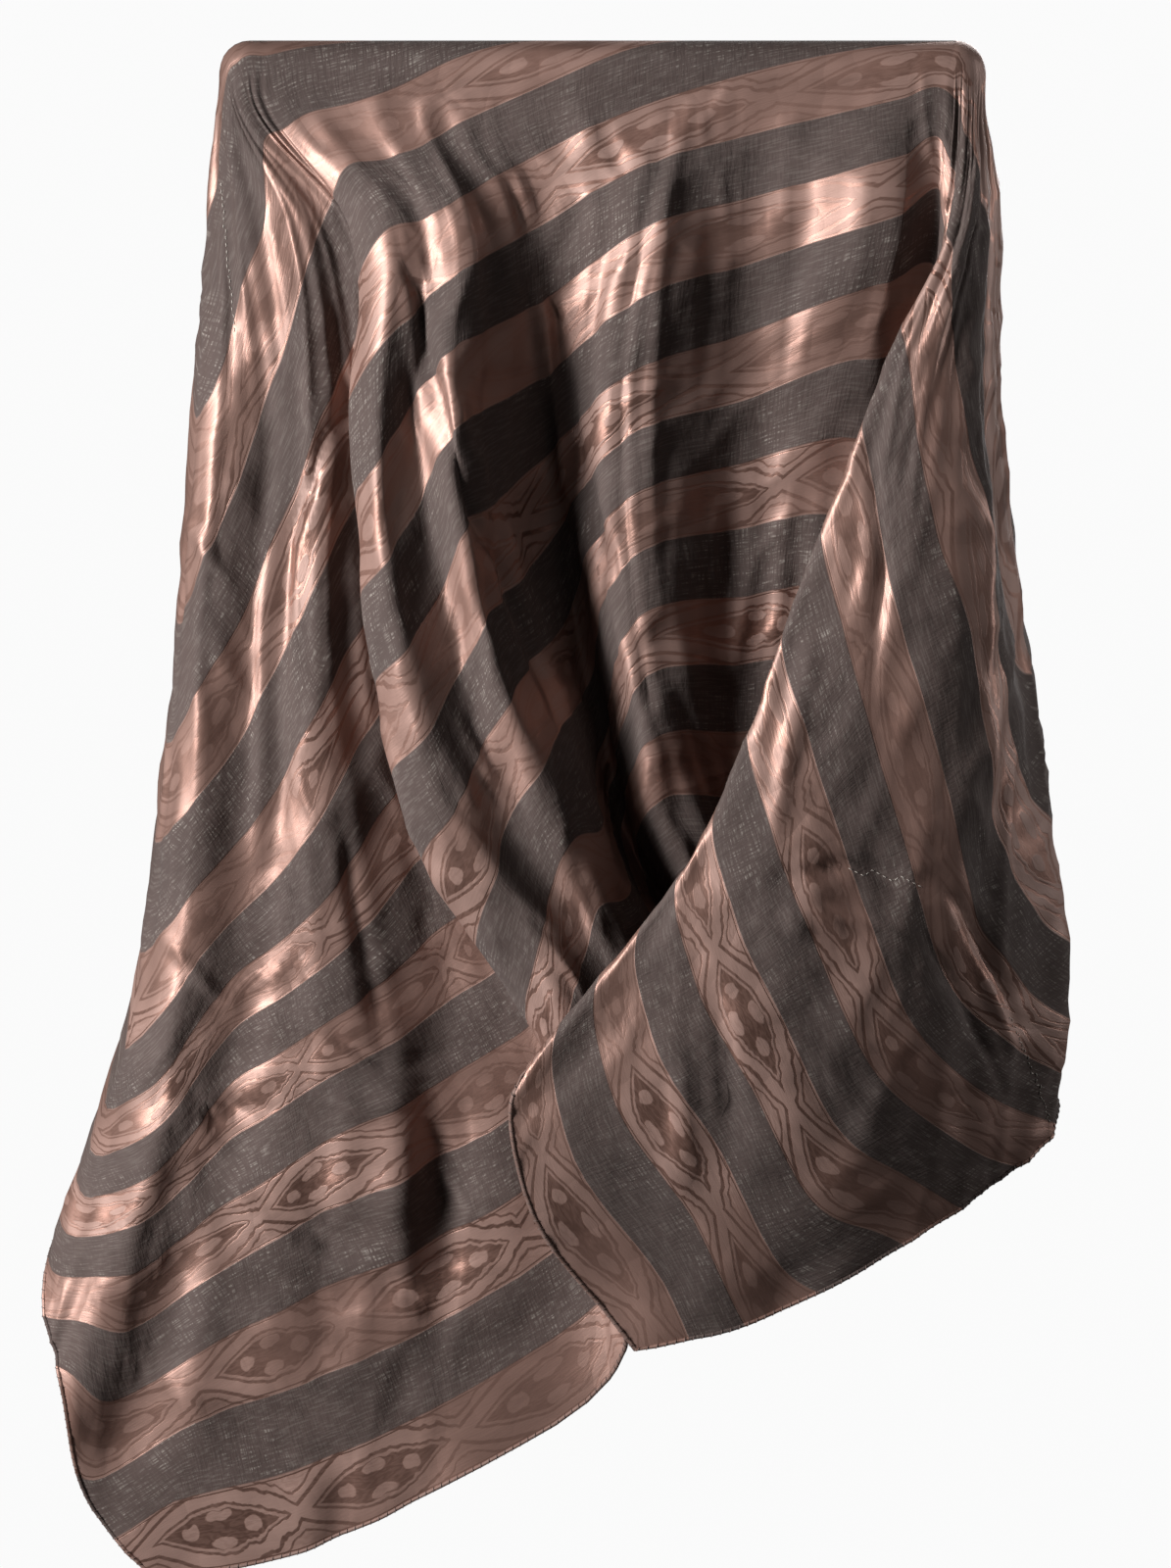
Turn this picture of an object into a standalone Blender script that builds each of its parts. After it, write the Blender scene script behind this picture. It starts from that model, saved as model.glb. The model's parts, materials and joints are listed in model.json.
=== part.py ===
"""A large striped silk scarf, thrown over the plain back board that carries it.

Metres, +Z up. The origin is the middle of the scarf's top line, where the board holds it. The front
faces -Y. The scarf is one cloth: it is lofted from the lines that its folds draw, which run down from
the top line like the ribs of a tent, and it is then parted at hidden lines into one solid a stretch.
"""
import math
from collections import namedtuple

import bmesh
import bpy
import numpy as np

MM = 0.001

# The board and the bend of the cloth over it
TOP_HALF_LENGTH = 198 * MM      # half the straight top line, up to where the ends turn down
CLOTH_BEND = 17 * MM            # radius of the cloth's middle over the board's rounded edge
SKIRT = 5 * MM                  # how far the top wrap runs on below that bend
CLOTH = 1.2 * MM                # thickness of the wall that stands for the silk
SEAM = 0.3 * MM                 # gap between neighbouring solids
SEAM_LEAN = 0.3 * MM            # more of a gap down the hanging seams, where the cloth bends across them
BOARD_EDGE = CLOTH_BEND - CLOTH / 2 - SEAM
BOARD_HALF_LENGTH = TOP_HALF_LENGTH - 2.5 * MM
BOARD_HEIGHT = 400 * MM

# The eye that the front folds were measured from: their places are as seen from it
EYE_DISTANCE = 2.4
EYE_PITCH = math.radians(15)
VIEW_CENTRE_DOWN = 0.417
VIEW_CENTRE_ACROSS = -0.0096
EYE = np.array((VIEW_CENTRE_ACROSS,
                -VIEW_CENTRE_DOWN * math.sin(EYE_PITCH) - EYE_DISTANCE * math.cos(EYE_PITCH),
                -VIEW_CENTRE_DOWN * math.cos(EYE_PITCH) + EYE_DISTANCE * math.sin(EYE_PITCH)))

# One row a fold line. rim is its place along the top line in mm and turn the way it leaves a rounded
# end, in degrees from straight ahead. The other cells are six places on its way down, in mm
Fold = namedtuple("Fold", "name rim turn neck high middle low skirt hem")

# Front folds, left to right. Each place is (across, down, forward): the first two as seen from the eye
FRONT = [
    Fold("left outline", -198, -90, (-221, 101, 0), (-229, 219, -5), (-239, 335, -10),
         (-251, 461, -10), (-269, 584, -5), (-312, 716, 15)),
    Fold("left fall, outer ridge", -198, -76, (-215, 101, 15), (-214, 214, 24), (-225, 335, 28),
         (-234, 461, 28), (-247, 588, 27), (-305, 747, 30)),
    Fold("left fall, trough", -198, -62, (-204, 101, 25), (-187, 214, 20), (-194, 340, 20),
         (-198, 467, 20), (-209, 599, 20), (-286, 824, 25)),
    Fold("left front corner", -198, -52, (-191, 101, 26), (-176, 214, 25), (-180, 343, 26),
         (-181, 469, 26), (-190, 607, 27), (-252, 863, 28)),
    Fold("left fall, inner ridge", -198, -40, (-178, 101, 30), (-165, 214, 33), (-166, 346, 36),
         (-162, 472, 36), (-157, 610, 35), (-179, 850, 30)),
    Fold("under the roll", -198, -24, (-157, 101, 29), (-133, 219, 20), (-121, 351, 20),
         (-96, 483, 19), (-74, 604, 21), (-89, 810, 30)),
    Fold("under the roll, inner", -198, -12, (-147, 101, 30), (-127, 219, 20), (-112, 351, 20),
         (-78, 480, 20), (-25, 599, 24), (-5, 758, 38)),
    Fold("roll, left side", -188, 0, (-141, 101, 40), (-143, 214, 60), (-133, 329, 70),
         (-104, 442, 80), (-41, 535, 85), (8, 680, 78)),
    Fold("roll, crown", -168, 0, (-121, 101, 52), (-126, 214, 80), (-115, 326, 88),
         (-82, 436, 92), (-23, 519, 91), (28, 650, 88)),
    Fold("roll, trough", -142, 0, (-102, 101, 48), (-105, 214, 66), (-86, 324, 72),
         (-56, 428, 78), (-12, 504, 80), (38, 620, 82)),
    Fold("second ridge", -113, 0, (-84, 101, 56), (-84, 214, 84), (-68, 318, 88),
         (-33, 423, 84), (-4, 486, 79), (48, 590, 80)),
    Fold("second ridge, right side", -88, 0, (-63, 101, 42), (-66, 214, 58), (-53, 307, 58),
         (-14, 400, 55), (9, 461, 55), (59, 560, 60)),
    Fold("hollow", -52, 0, (-30, 101, 30), (-30, 208, 24), (-22, 302, 20),
         (-1, 387, 20), (17, 455, 18), (66, 530, 14)),
    Fold("narrow ridge", 36, 0, (32, 101, 46), (15, 192, 56), (15, 277, 58),
         (21, 357, 58), (33, 428, 54), (72, 500, 45)),
    Fold("centre panel", 80, 0, (81, 101, 26), (80, 183, 28), (78, 255, 28),
         (78, 329, 28), (78, 412, 26), (102, 497, 24)),
    Fold("fourth ridge", 168, 0, (168, 101, 42), (150, 170, 40), (134, 236, 32),
         (120, 307, 28), (122, 395, 25), (140, 486, 24)),
    Fold("hidden valley", 190, 0, (191, 96, 27), (184, 167, 22), (178, 238, 23),
         (168, 313, 23), (164, 401, 22), (190, 472, 19)),
    Fold("hidden valley, front", 196, 0, (193, 99, 34), (184, 169, 36), (178, 240, 38),
         (168, 315, 39), (164, 404, 40), (190, 476, 40)),
    Fold("right layer, hidden web", 198, 8, (195, 101, 42), (176, 172, 50), (152, 243, 58),
         (122, 325, 66), (86, 438, 78), (34, 538, 92)),
    Fold("right layer, fold edge", 198, 14, (196, 101, 48), (162, 175, 62), (133, 247, 74),
         (102, 329, 86), (59, 442, 100), (-50, 590, 120)),
    Fold("right layer, left hem", 198, 25, (202, 101, 50), (172, 181, 70), (153, 258, 83),
         (130, 351, 94), (86, 472, 108), (-44, 645, 123)),
    Fold("right front corner", 198, 36, (206, 101, 50), (182, 186, 73), (171, 269, 87),
         (154, 368, 99), (121, 489, 111), (18, 734, 113)),
    Fold("right layer, middle", 198, 48, (208, 101, 46), (193, 191, 70), (187, 277, 84),
         (176, 381, 96), (154, 505, 106), (93, 715, 100)),
    Fold("right layer, ridge", 198, 62, (213, 101, 38), (210, 200, 62), (215, 285, 76),
         (205, 395, 88), (185, 521, 92), (158, 680, 78)),
    Fold("right facet", 198, 76, (216, 101, 20), (216, 200, 36), (221, 288, 44),
         (231, 406, 48), (224, 538, 50), (212, 646, 45)),
    Fold("right outline", 198, 90, (220, 101, 0), (223, 197, -5), (232, 290, -8),
         (248, 408, -8), (261, 549, -5), (253, 613, 5)),
]

# Back folds, right to left as seen from the front. Each place is (across, down, behind) in plain mm
BACK = [
    Fold("back right, outer ridge", 198, 108, (224, 104, 22), (232, 208, 48), (238, 306, 68),
         (244, 410, 84), (250, 514, 96), (252, 612, 104)),
    Fold("back right, outer valley", 198, 126, (214, 103, 27), (204, 206, 28), (200, 303, 30),
         (202, 405, 34), (206, 508, 38), (208, 605, 42)),
    Fold("back right, inner ridge", 198, 144, (200, 106, 33), (190, 212, 62), (180, 318, 88),
         (172, 425, 108), (166, 530, 122), (160, 633, 130)),
    Fold("back right, inner valley", 198, 162, (186, 108, 24), (166, 220, 27), (150, 335, 32),
         (138, 450, 38), (128, 570, 44), (118, 690, 50)),
    Fold("right back corner", 192, 180, (176, 112, 36), (148, 235, 66), (122, 365, 92),
         (98, 500, 110), (76, 650, 122), (56, 800, 126)),
    Fold("back centre, right valley", 172, 180, (160, 100, 22), (128, 205, 22), (100, 305, 24),
         (74, 405, 28), (48, 505, 34), (26, 600, 40)),
    Fold("back centre, right ridge", 140, 180, (130, 92, 36), (104, 182, 52), (80, 270, 64),
         (56, 360, 72), (34, 450, 80), (14, 535, 84)),
    Fold("back centre, panel", 40, 180, (38, 84, 22), (20, 166, 22), (4, 248, 24),
         (-10, 330, 26), (-22, 412, 30), (-32, 490, 34)),
    Fold("back centre, left ridge", -70, 180, (-66, 78, 34), (-62, 154, 46), (-60, 230, 56),
         (-60, 305, 64), (-62, 380, 70), (-66, 452, 74)),
    Fold("back centre, left valley", -150, 180, (-142, 76, 22), (-126, 150, 22), (-114, 224, 24),
         (-106, 298, 26), (-100, 370, 32), (-98, 440, 38)),
    Fold("left back corner", -188, 180, (-182, 110, 36), (-168, 225, 64), (-158, 340, 86),
         (-150, 460, 104), (-146, 585, 116), (-144, 715, 120)),
    Fold("back left, inner valley", -198, -162, (-196, 106, 26), (-190, 212, 28), (-190, 318, 32),
         (-192, 425, 38), (-196, 535, 44), (-200, 645, 50)),
    Fold("back left, middle ridge", -198, -144, (-206, 102, 36), (-210, 204, 66), (-214, 304, 92),
         (-218, 402, 112), (-224, 502, 126), (-230, 600, 134)),
    Fold("back left, outer valley", -198, -126, (-214, 100, 24), (-218, 200, 28), (-224, 300, 34),
         (-232, 398, 40), (-242, 498, 46), (-254, 596, 50)),
    Fold("back left, outer ridge", -198, -108, (-222, 106, 16), (-231, 212, 38), (-240, 318, 56),
         (-252, 425, 68), (-262, 532, 78), (-280, 640, 84)),
]
RING = FRONT + BACK
CORNERS = {"left front corner", "right front corner"}

# The stretches of cloth: each runs from one hidden web to the next, round the ring
Stretch = namedtuple("Stretch", "name first last colour")
STRETCHES = [
    Stretch("left_fall", "back left, outer ridge", "under the roll, inner", (0.42, 0.30, 0.27)),
    Stretch("roll_fold", "under the roll, inner", "second ridge, right side", (0.50, 0.35, 0.31)),
    Stretch("centre_panel", "second ridge, right side", "hidden valley", (0.40, 0.29, 0.26)),
    Stretch("right_fall", "hidden valley", "right outline", (0.52, 0.38, 0.34)),
    Stretch("back_right", "right outline", "back centre, right valley", (0.38, 0.27, 0.25)),
    Stretch("back_centre", "back centre, right valley", "back centre, left valley", (0.44, 0.32, 0.29)),
    Stretch("back_left", "back centre, left valley", "back left, outer ridge", (0.36, 0.26, 0.24)),
]
BOARD_COLOUR = (0.60, 0.52, 0.42)
CLOTH_ROUGHNESS = 0.45
BOARD_ROUGHNESS = 0.6

# How finely the curves are cut into faces
ROWS_A_STATION = 3
FACE_WIDTH = 14 * MM
MOST_FACES_A_FOLD = 5
ARC_STEPS = 4
RIM_STEPS = 20
END_STEPS = 10


def seen(across, down, forward):
    """The point that the eye sees at a place on the picture plane, that far in front of the board."""
    on_plane = np.array((across, -down * math.sin(EYE_PITCH), -down * math.cos(EYE_PITCH)))
    reach = (-forward - EYE[1]) / (on_plane[1] - EYE[1])
    return EYE + (on_plane - EYE) * reach


def plain(across, down, behind):
    """A point given by its own distances from the origin."""
    return np.array((across, behind, -down))


def rim_point(rim, turn, drop):
    """A point of the cloth just below the bend over the board."""
    angle = math.radians(turn)
    return np.array((rim * MM + CLOTH_BEND * math.sin(angle), -CLOTH_BEND * math.cos(angle), -drop))


def fold_points(fold, place):
    """The rim point of a fold line and the six places below it."""
    below = [place(*(value * MM for value in cell)) for cell in fold[3:]]
    return np.array([rim_point(fold.rim, fold.turn, CLOTH_BEND + SKIRT + SEAM)] + below)


def slopes(points, lengths, closed):
    """The direction of a smooth curve at each of its points, weighted towards the nearer neighbour."""
    steps = (np.roll(points, -1, axis=0) - points) / lengths[:, None]
    before = np.roll(lengths, 1)[:, None]
    after = lengths[:, None]
    result = (steps * before + np.roll(steps, 1, axis=0) * after) / (before + after)
    if not closed:
        result[0] = (0, 0, -1)
        result[-1] = steps[-2]
    return result


def ring_slopes(ring, lengths, sharpness):
    """The directions in which a ring leaves and reaches each fold, which part at the cloth's corners."""
    smooth = slopes(ring, lengths, closed=True)
    steps = (np.roll(ring, -1, axis=0) - ring) / lengths[:, None]
    leaving, reaching = smooth.copy(), smooth.copy()
    for index, fold in enumerate(RING):
        if fold.name in CORNERS:
            leaving[index] += (steps[index] - smooth[index]) * sharpness
            reaching[index] += (steps[index - 1] - smooth[index]) * sharpness
    return leaving, reaching


def between(points, leaving, reaching, lengths, index, part):
    """The point of the curve that lies the given part of the way after one of its points."""
    after = (index + 1) % len(points)
    square, cube = part * part, part ** 3
    pull = lengths[index] * ((cube - 2 * square + part) * leaving[index] + (cube - square) * reaching[after])
    return (2 * cube - 3 * square + 1) * points[index] + (3 * square - 2 * cube) * points[after] + pull


def chord_lengths(points):
    """The distance from each point to the next, the last one back to the first."""
    return np.maximum(np.linalg.norm(np.roll(points, -1, axis=0) - points, axis=1), 1e-6)


def rows_of_rings():
    """The cloth as a list of closed rings of fold points, from the rim down to the hem."""
    columns = [fold_points(fold, seen) for fold in FRONT] + [fold_points(fold, plain) for fold in BACK]
    smooth = []
    for column in columns:
        lengths = chord_lengths(column)
        slope = slopes(column, lengths, closed=False)
        line = [between(column, slope, slope, lengths, station, step / ROWS_A_STATION)
                for station in range(len(column) - 1) for step in range(ROWS_A_STATION)]
        smooth.append(line + [column[-1]])
    return np.array(smooth).transpose(1, 0, 2)


def stretch_grid(rings, first, last):
    """The points of one stretch of cloth, a row for each ring.

    It starts halfway from the first fold to the next and ends halfway past the last one, where the
    cloth is flattest, less half a seam on each side.
    """
    names = [fold.name for fold in RING]
    start, stop = names.index(first), names.index(last)
    indices = [(start + step) % len(RING) for step in range((stop - start) % len(RING) + 1)]
    middle = rings[len(rings) // 2]
    counts = [2 * min(MOST_FACES_A_FOLD, max(2, round(length / FACE_WIDTH))) // 2
              for length in chord_lengths(middle)[indices]]
    trim = (SEAM + SEAM_LEAN) / 2
    grid = []
    for row, ring in enumerate(rings):
        lengths = chord_lengths(ring)
        above_hem = (len(rings) - 1 - row) / ROWS_A_STATION
        leaving, reaching = ring_slopes(ring, lengths, max(0, 1 - above_hem) ** 2)
        places = []
        for index, count in zip(indices, counts):
            begin = 0.5 + trim / lengths[index] if index == indices[0] else 0
            end = 0.5 - trim / lengths[index] if index == indices[-1] else 1
            steps = max(1, math.ceil(count * (end - begin) - 0.01))
            places += [(index, begin + (end - begin) * step / steps) for step in range(steps)]
        places.append((indices[-1], 0.5 - trim / lengths[indices[-1]]))
        grid.append([between(ring, leaving, reaching, lengths, index, part) for index, part in places])
    return grid


def material(name, colour, roughness):
    """A plain surface colour."""
    result = bpy.data.materials.new(name)
    result.use_nodes = True
    shader = result.node_tree.nodes["Principled BSDF"]
    shader.inputs["Base Color"].default_value = (*colour, 1)
    shader.inputs["Roughness"].default_value = roughness
    shader.inputs["Metallic"].default_value = 0
    return result


def add_object(name, mesh_data, colour, roughness, collection):
    """Turn a bmesh into a named, smoothly shaded object with its own material."""
    mesh = bpy.data.meshes.new(name)
    mesh_data.to_mesh(mesh)
    mesh_data.free()
    mesh.shade_smooth()
    result = bpy.data.objects.new(name, mesh)
    result.data.materials.append(material(name, colour, roughness))
    collection.objects.link(result)
    return result


def sheet_from_rows(rows, closed):
    """An open surface of four-sided faces through rows of points."""
    sheet = bmesh.new()
    verts = [[sheet.verts.new(point) for point in row] for row in rows]
    for upper, lower in zip(verts, verts[1:]):
        for index in range(len(upper) if closed else len(upper) - 1):
            after = (index + 1) % len(upper)
            sheet.faces.new((upper[index], lower[index], lower[after], upper[after]))
    return sheet


def rim_ring(half_length, radius, drop):
    """A long ring with round ends at one height, front side first."""
    ring = []
    straight = np.linspace(-half_length, half_length, RIM_STEPS + 1)
    around = [math.pi * step / END_STEPS for step in range(1, END_STEPS)]
    ring += [(x, -radius, -drop) for x in straight]
    ring += [(half_length + radius * math.sin(a), -radius * math.cos(a), -drop) for a in around]
    ring += [(x, radius, -drop) for x in reversed(straight)]
    ring += [(-half_length - radius * math.sin(a), radius * math.cos(a), -drop) for a in around]
    return ring


def dome_rings(half_length, radius, top):
    """Rings from the top line, down the round edge, to where it stands upright."""
    angles = [math.pi / 2 * step / ARC_STEPS for step in range(ARC_STEPS + 1)]
    return [rim_ring(half_length, radius * math.sin(angle), top + radius * (1 - math.cos(angle)))
            for angle in angles]


def build_board(collection):
    """The plain board under the cloth: a plate with a round top edge and round sides."""
    under_cloth = CLOTH_BEND - BOARD_EDGE
    rings = dome_rings(BOARD_HALF_LENGTH, BOARD_EDGE, under_cloth)
    rings.append(rim_ring(BOARD_HALF_LENGTH, BOARD_EDGE, BOARD_HEIGHT))
    solid = sheet_from_rows(rings, closed=True)
    bmesh.ops.remove_doubles(solid, verts=solid.verts, dist=0.01 * MM)
    bmesh.ops.holes_fill(solid, edges=[edge for edge in solid.edges if edge.is_boundary])
    bmesh.ops.recalc_face_normals(solid, faces=solid.faces)
    return add_object("back_board", solid, BOARD_COLOUR, BOARD_ROUGHNESS, collection)


def thicken(sheet_object):
    """Give an open surface the cloth's thickness, half to each side."""
    solidify = sheet_object.modifiers.new("cloth", 'SOLIDIFY')
    solidify.thickness = CLOTH
    solidify.offset = 0


def build_top_wrap(collection):
    """The cloth over the board's top edge, down to just below the bend."""
    rings = dome_rings(TOP_HALF_LENGTH, CLOTH_BEND, 0)
    rings.append(rim_ring(TOP_HALF_LENGTH, CLOTH_BEND, CLOTH_BEND + SKIRT))
    sheet = sheet_from_rows(rings, closed=True)
    bmesh.ops.remove_doubles(sheet, verts=sheet.verts, dist=0.01 * MM)
    wrap = add_object("top_wrap", sheet, STRETCHES[0].colour, CLOTH_ROUGHNESS, collection)
    thicken(wrap)
    return wrap


def build_stretch(stretch, rings, collection):
    """One hanging stretch of the cloth, as a thin wall."""
    sheet = sheet_from_rows(stretch_grid(rings, stretch.first, stretch.last), closed=False)
    cloth = add_object(stretch.name, sheet, stretch.colour, CLOTH_ROUGHNESS, collection)
    thicken(cloth)
    return cloth


def main():
    for old in list(bpy.data.objects):
        bpy.data.objects.remove(old, do_unlink=True)
    collection = bpy.data.collections.new("silk_scarf_on_board")
    bpy.context.scene.collection.children.link(collection)
    carrier = bpy.data.objects.new("scarf_and_board", None)
    collection.objects.link(carrier)
    rings = rows_of_rings()
    pieces = [build_board(collection), build_top_wrap(collection)]
    pieces += [build_stretch(stretch, rings, collection) for stretch in STRETCHES]
    for piece in pieces:
        piece.parent = carrier


if __name__ == "__main__":
    main()
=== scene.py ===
"""A large striped silk scarf over a plain back board, as a Blender add-on that is run as a script.

Metres, +Z up, front towards -Y. The cloth is one sheet, carried on the lines that its folds draw from
the top line down to the hem, with its own length and width laid out on it for the woven stripes.
"""
import json
import math
from collections import namedtuple
from functools import lru_cache

import bmesh
import bpy
import numpy as np
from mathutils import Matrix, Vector, noise

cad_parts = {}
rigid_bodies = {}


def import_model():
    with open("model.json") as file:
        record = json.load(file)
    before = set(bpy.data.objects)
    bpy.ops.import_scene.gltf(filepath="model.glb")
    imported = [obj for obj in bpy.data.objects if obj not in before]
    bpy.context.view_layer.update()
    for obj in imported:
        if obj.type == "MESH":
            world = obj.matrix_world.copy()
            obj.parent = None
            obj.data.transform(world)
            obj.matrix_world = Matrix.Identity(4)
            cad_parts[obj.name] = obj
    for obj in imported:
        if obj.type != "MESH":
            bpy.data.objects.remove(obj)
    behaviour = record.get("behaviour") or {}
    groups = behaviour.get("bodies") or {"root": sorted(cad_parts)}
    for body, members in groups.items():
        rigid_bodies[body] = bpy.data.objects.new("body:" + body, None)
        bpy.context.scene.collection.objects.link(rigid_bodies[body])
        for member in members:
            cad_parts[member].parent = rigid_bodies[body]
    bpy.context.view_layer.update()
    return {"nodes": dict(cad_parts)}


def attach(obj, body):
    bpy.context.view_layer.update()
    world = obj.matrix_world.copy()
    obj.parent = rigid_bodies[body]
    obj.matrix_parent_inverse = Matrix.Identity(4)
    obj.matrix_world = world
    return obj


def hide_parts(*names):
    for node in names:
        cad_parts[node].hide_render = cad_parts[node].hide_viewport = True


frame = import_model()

bl_info = {
    "name": "Striped silk scarf on a board",
    "version": (1, 0, 0),
    "blender": (4, 5, 0),
    "location": "3D View > Sidebar > Silk scarf",
    "description": "Builds a large striped silk scarf, thrown over a back board in soft folds",
    "category": "Add Mesh",
}

MM = 0.001

# The bend of the cloth over the board's rounded top edge
CLOTH_BEND = 17 * MM
BEND_ANGLES = (0, 30, 60, 90)   # degrees down the bend where a fold line has a point
BELOW_BEND = 5.3 * MM

# The eye that the front folds are seen from, which is also the camera
EYE_DISTANCE = 2.4
EYE_PITCH = math.radians(15)
VIEW_CENTRE_DOWN = 0.417
VIEW_CENTRE_ACROSS = -0.0096
PICTURE_HEIGHT = 0.88           # the height that the picture takes in at that distance
EYE = np.array((VIEW_CENTRE_ACROSS,
                -VIEW_CENTRE_DOWN * math.sin(EYE_PITCH) - EYE_DISTANCE * math.cos(EYE_PITCH),
                -VIEW_CENTRE_DOWN * math.cos(EYE_PITCH) + EYE_DISTANCE * math.sin(EYE_PITCH)))

# The scarf as it was cut
SCARF_LENGTH = 1.65
STRIPE_WIDTH = 38 * MM

# One row a fold line. rim is its place along the top line in mm, turn the way it leaves a rounded end,
# in degrees from straight ahead, then six places on the way down, in mm. stripes are the widths of
# stripe between the front long hem and the top line and those six places, and along is how far along
# the scarf the line meets the hem, in mm
Fold = namedtuple("Fold", "name rim turn neck high middle low skirt hem stripes along")
STATIONS = slice(3, 9)          # the six places in a row

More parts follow.
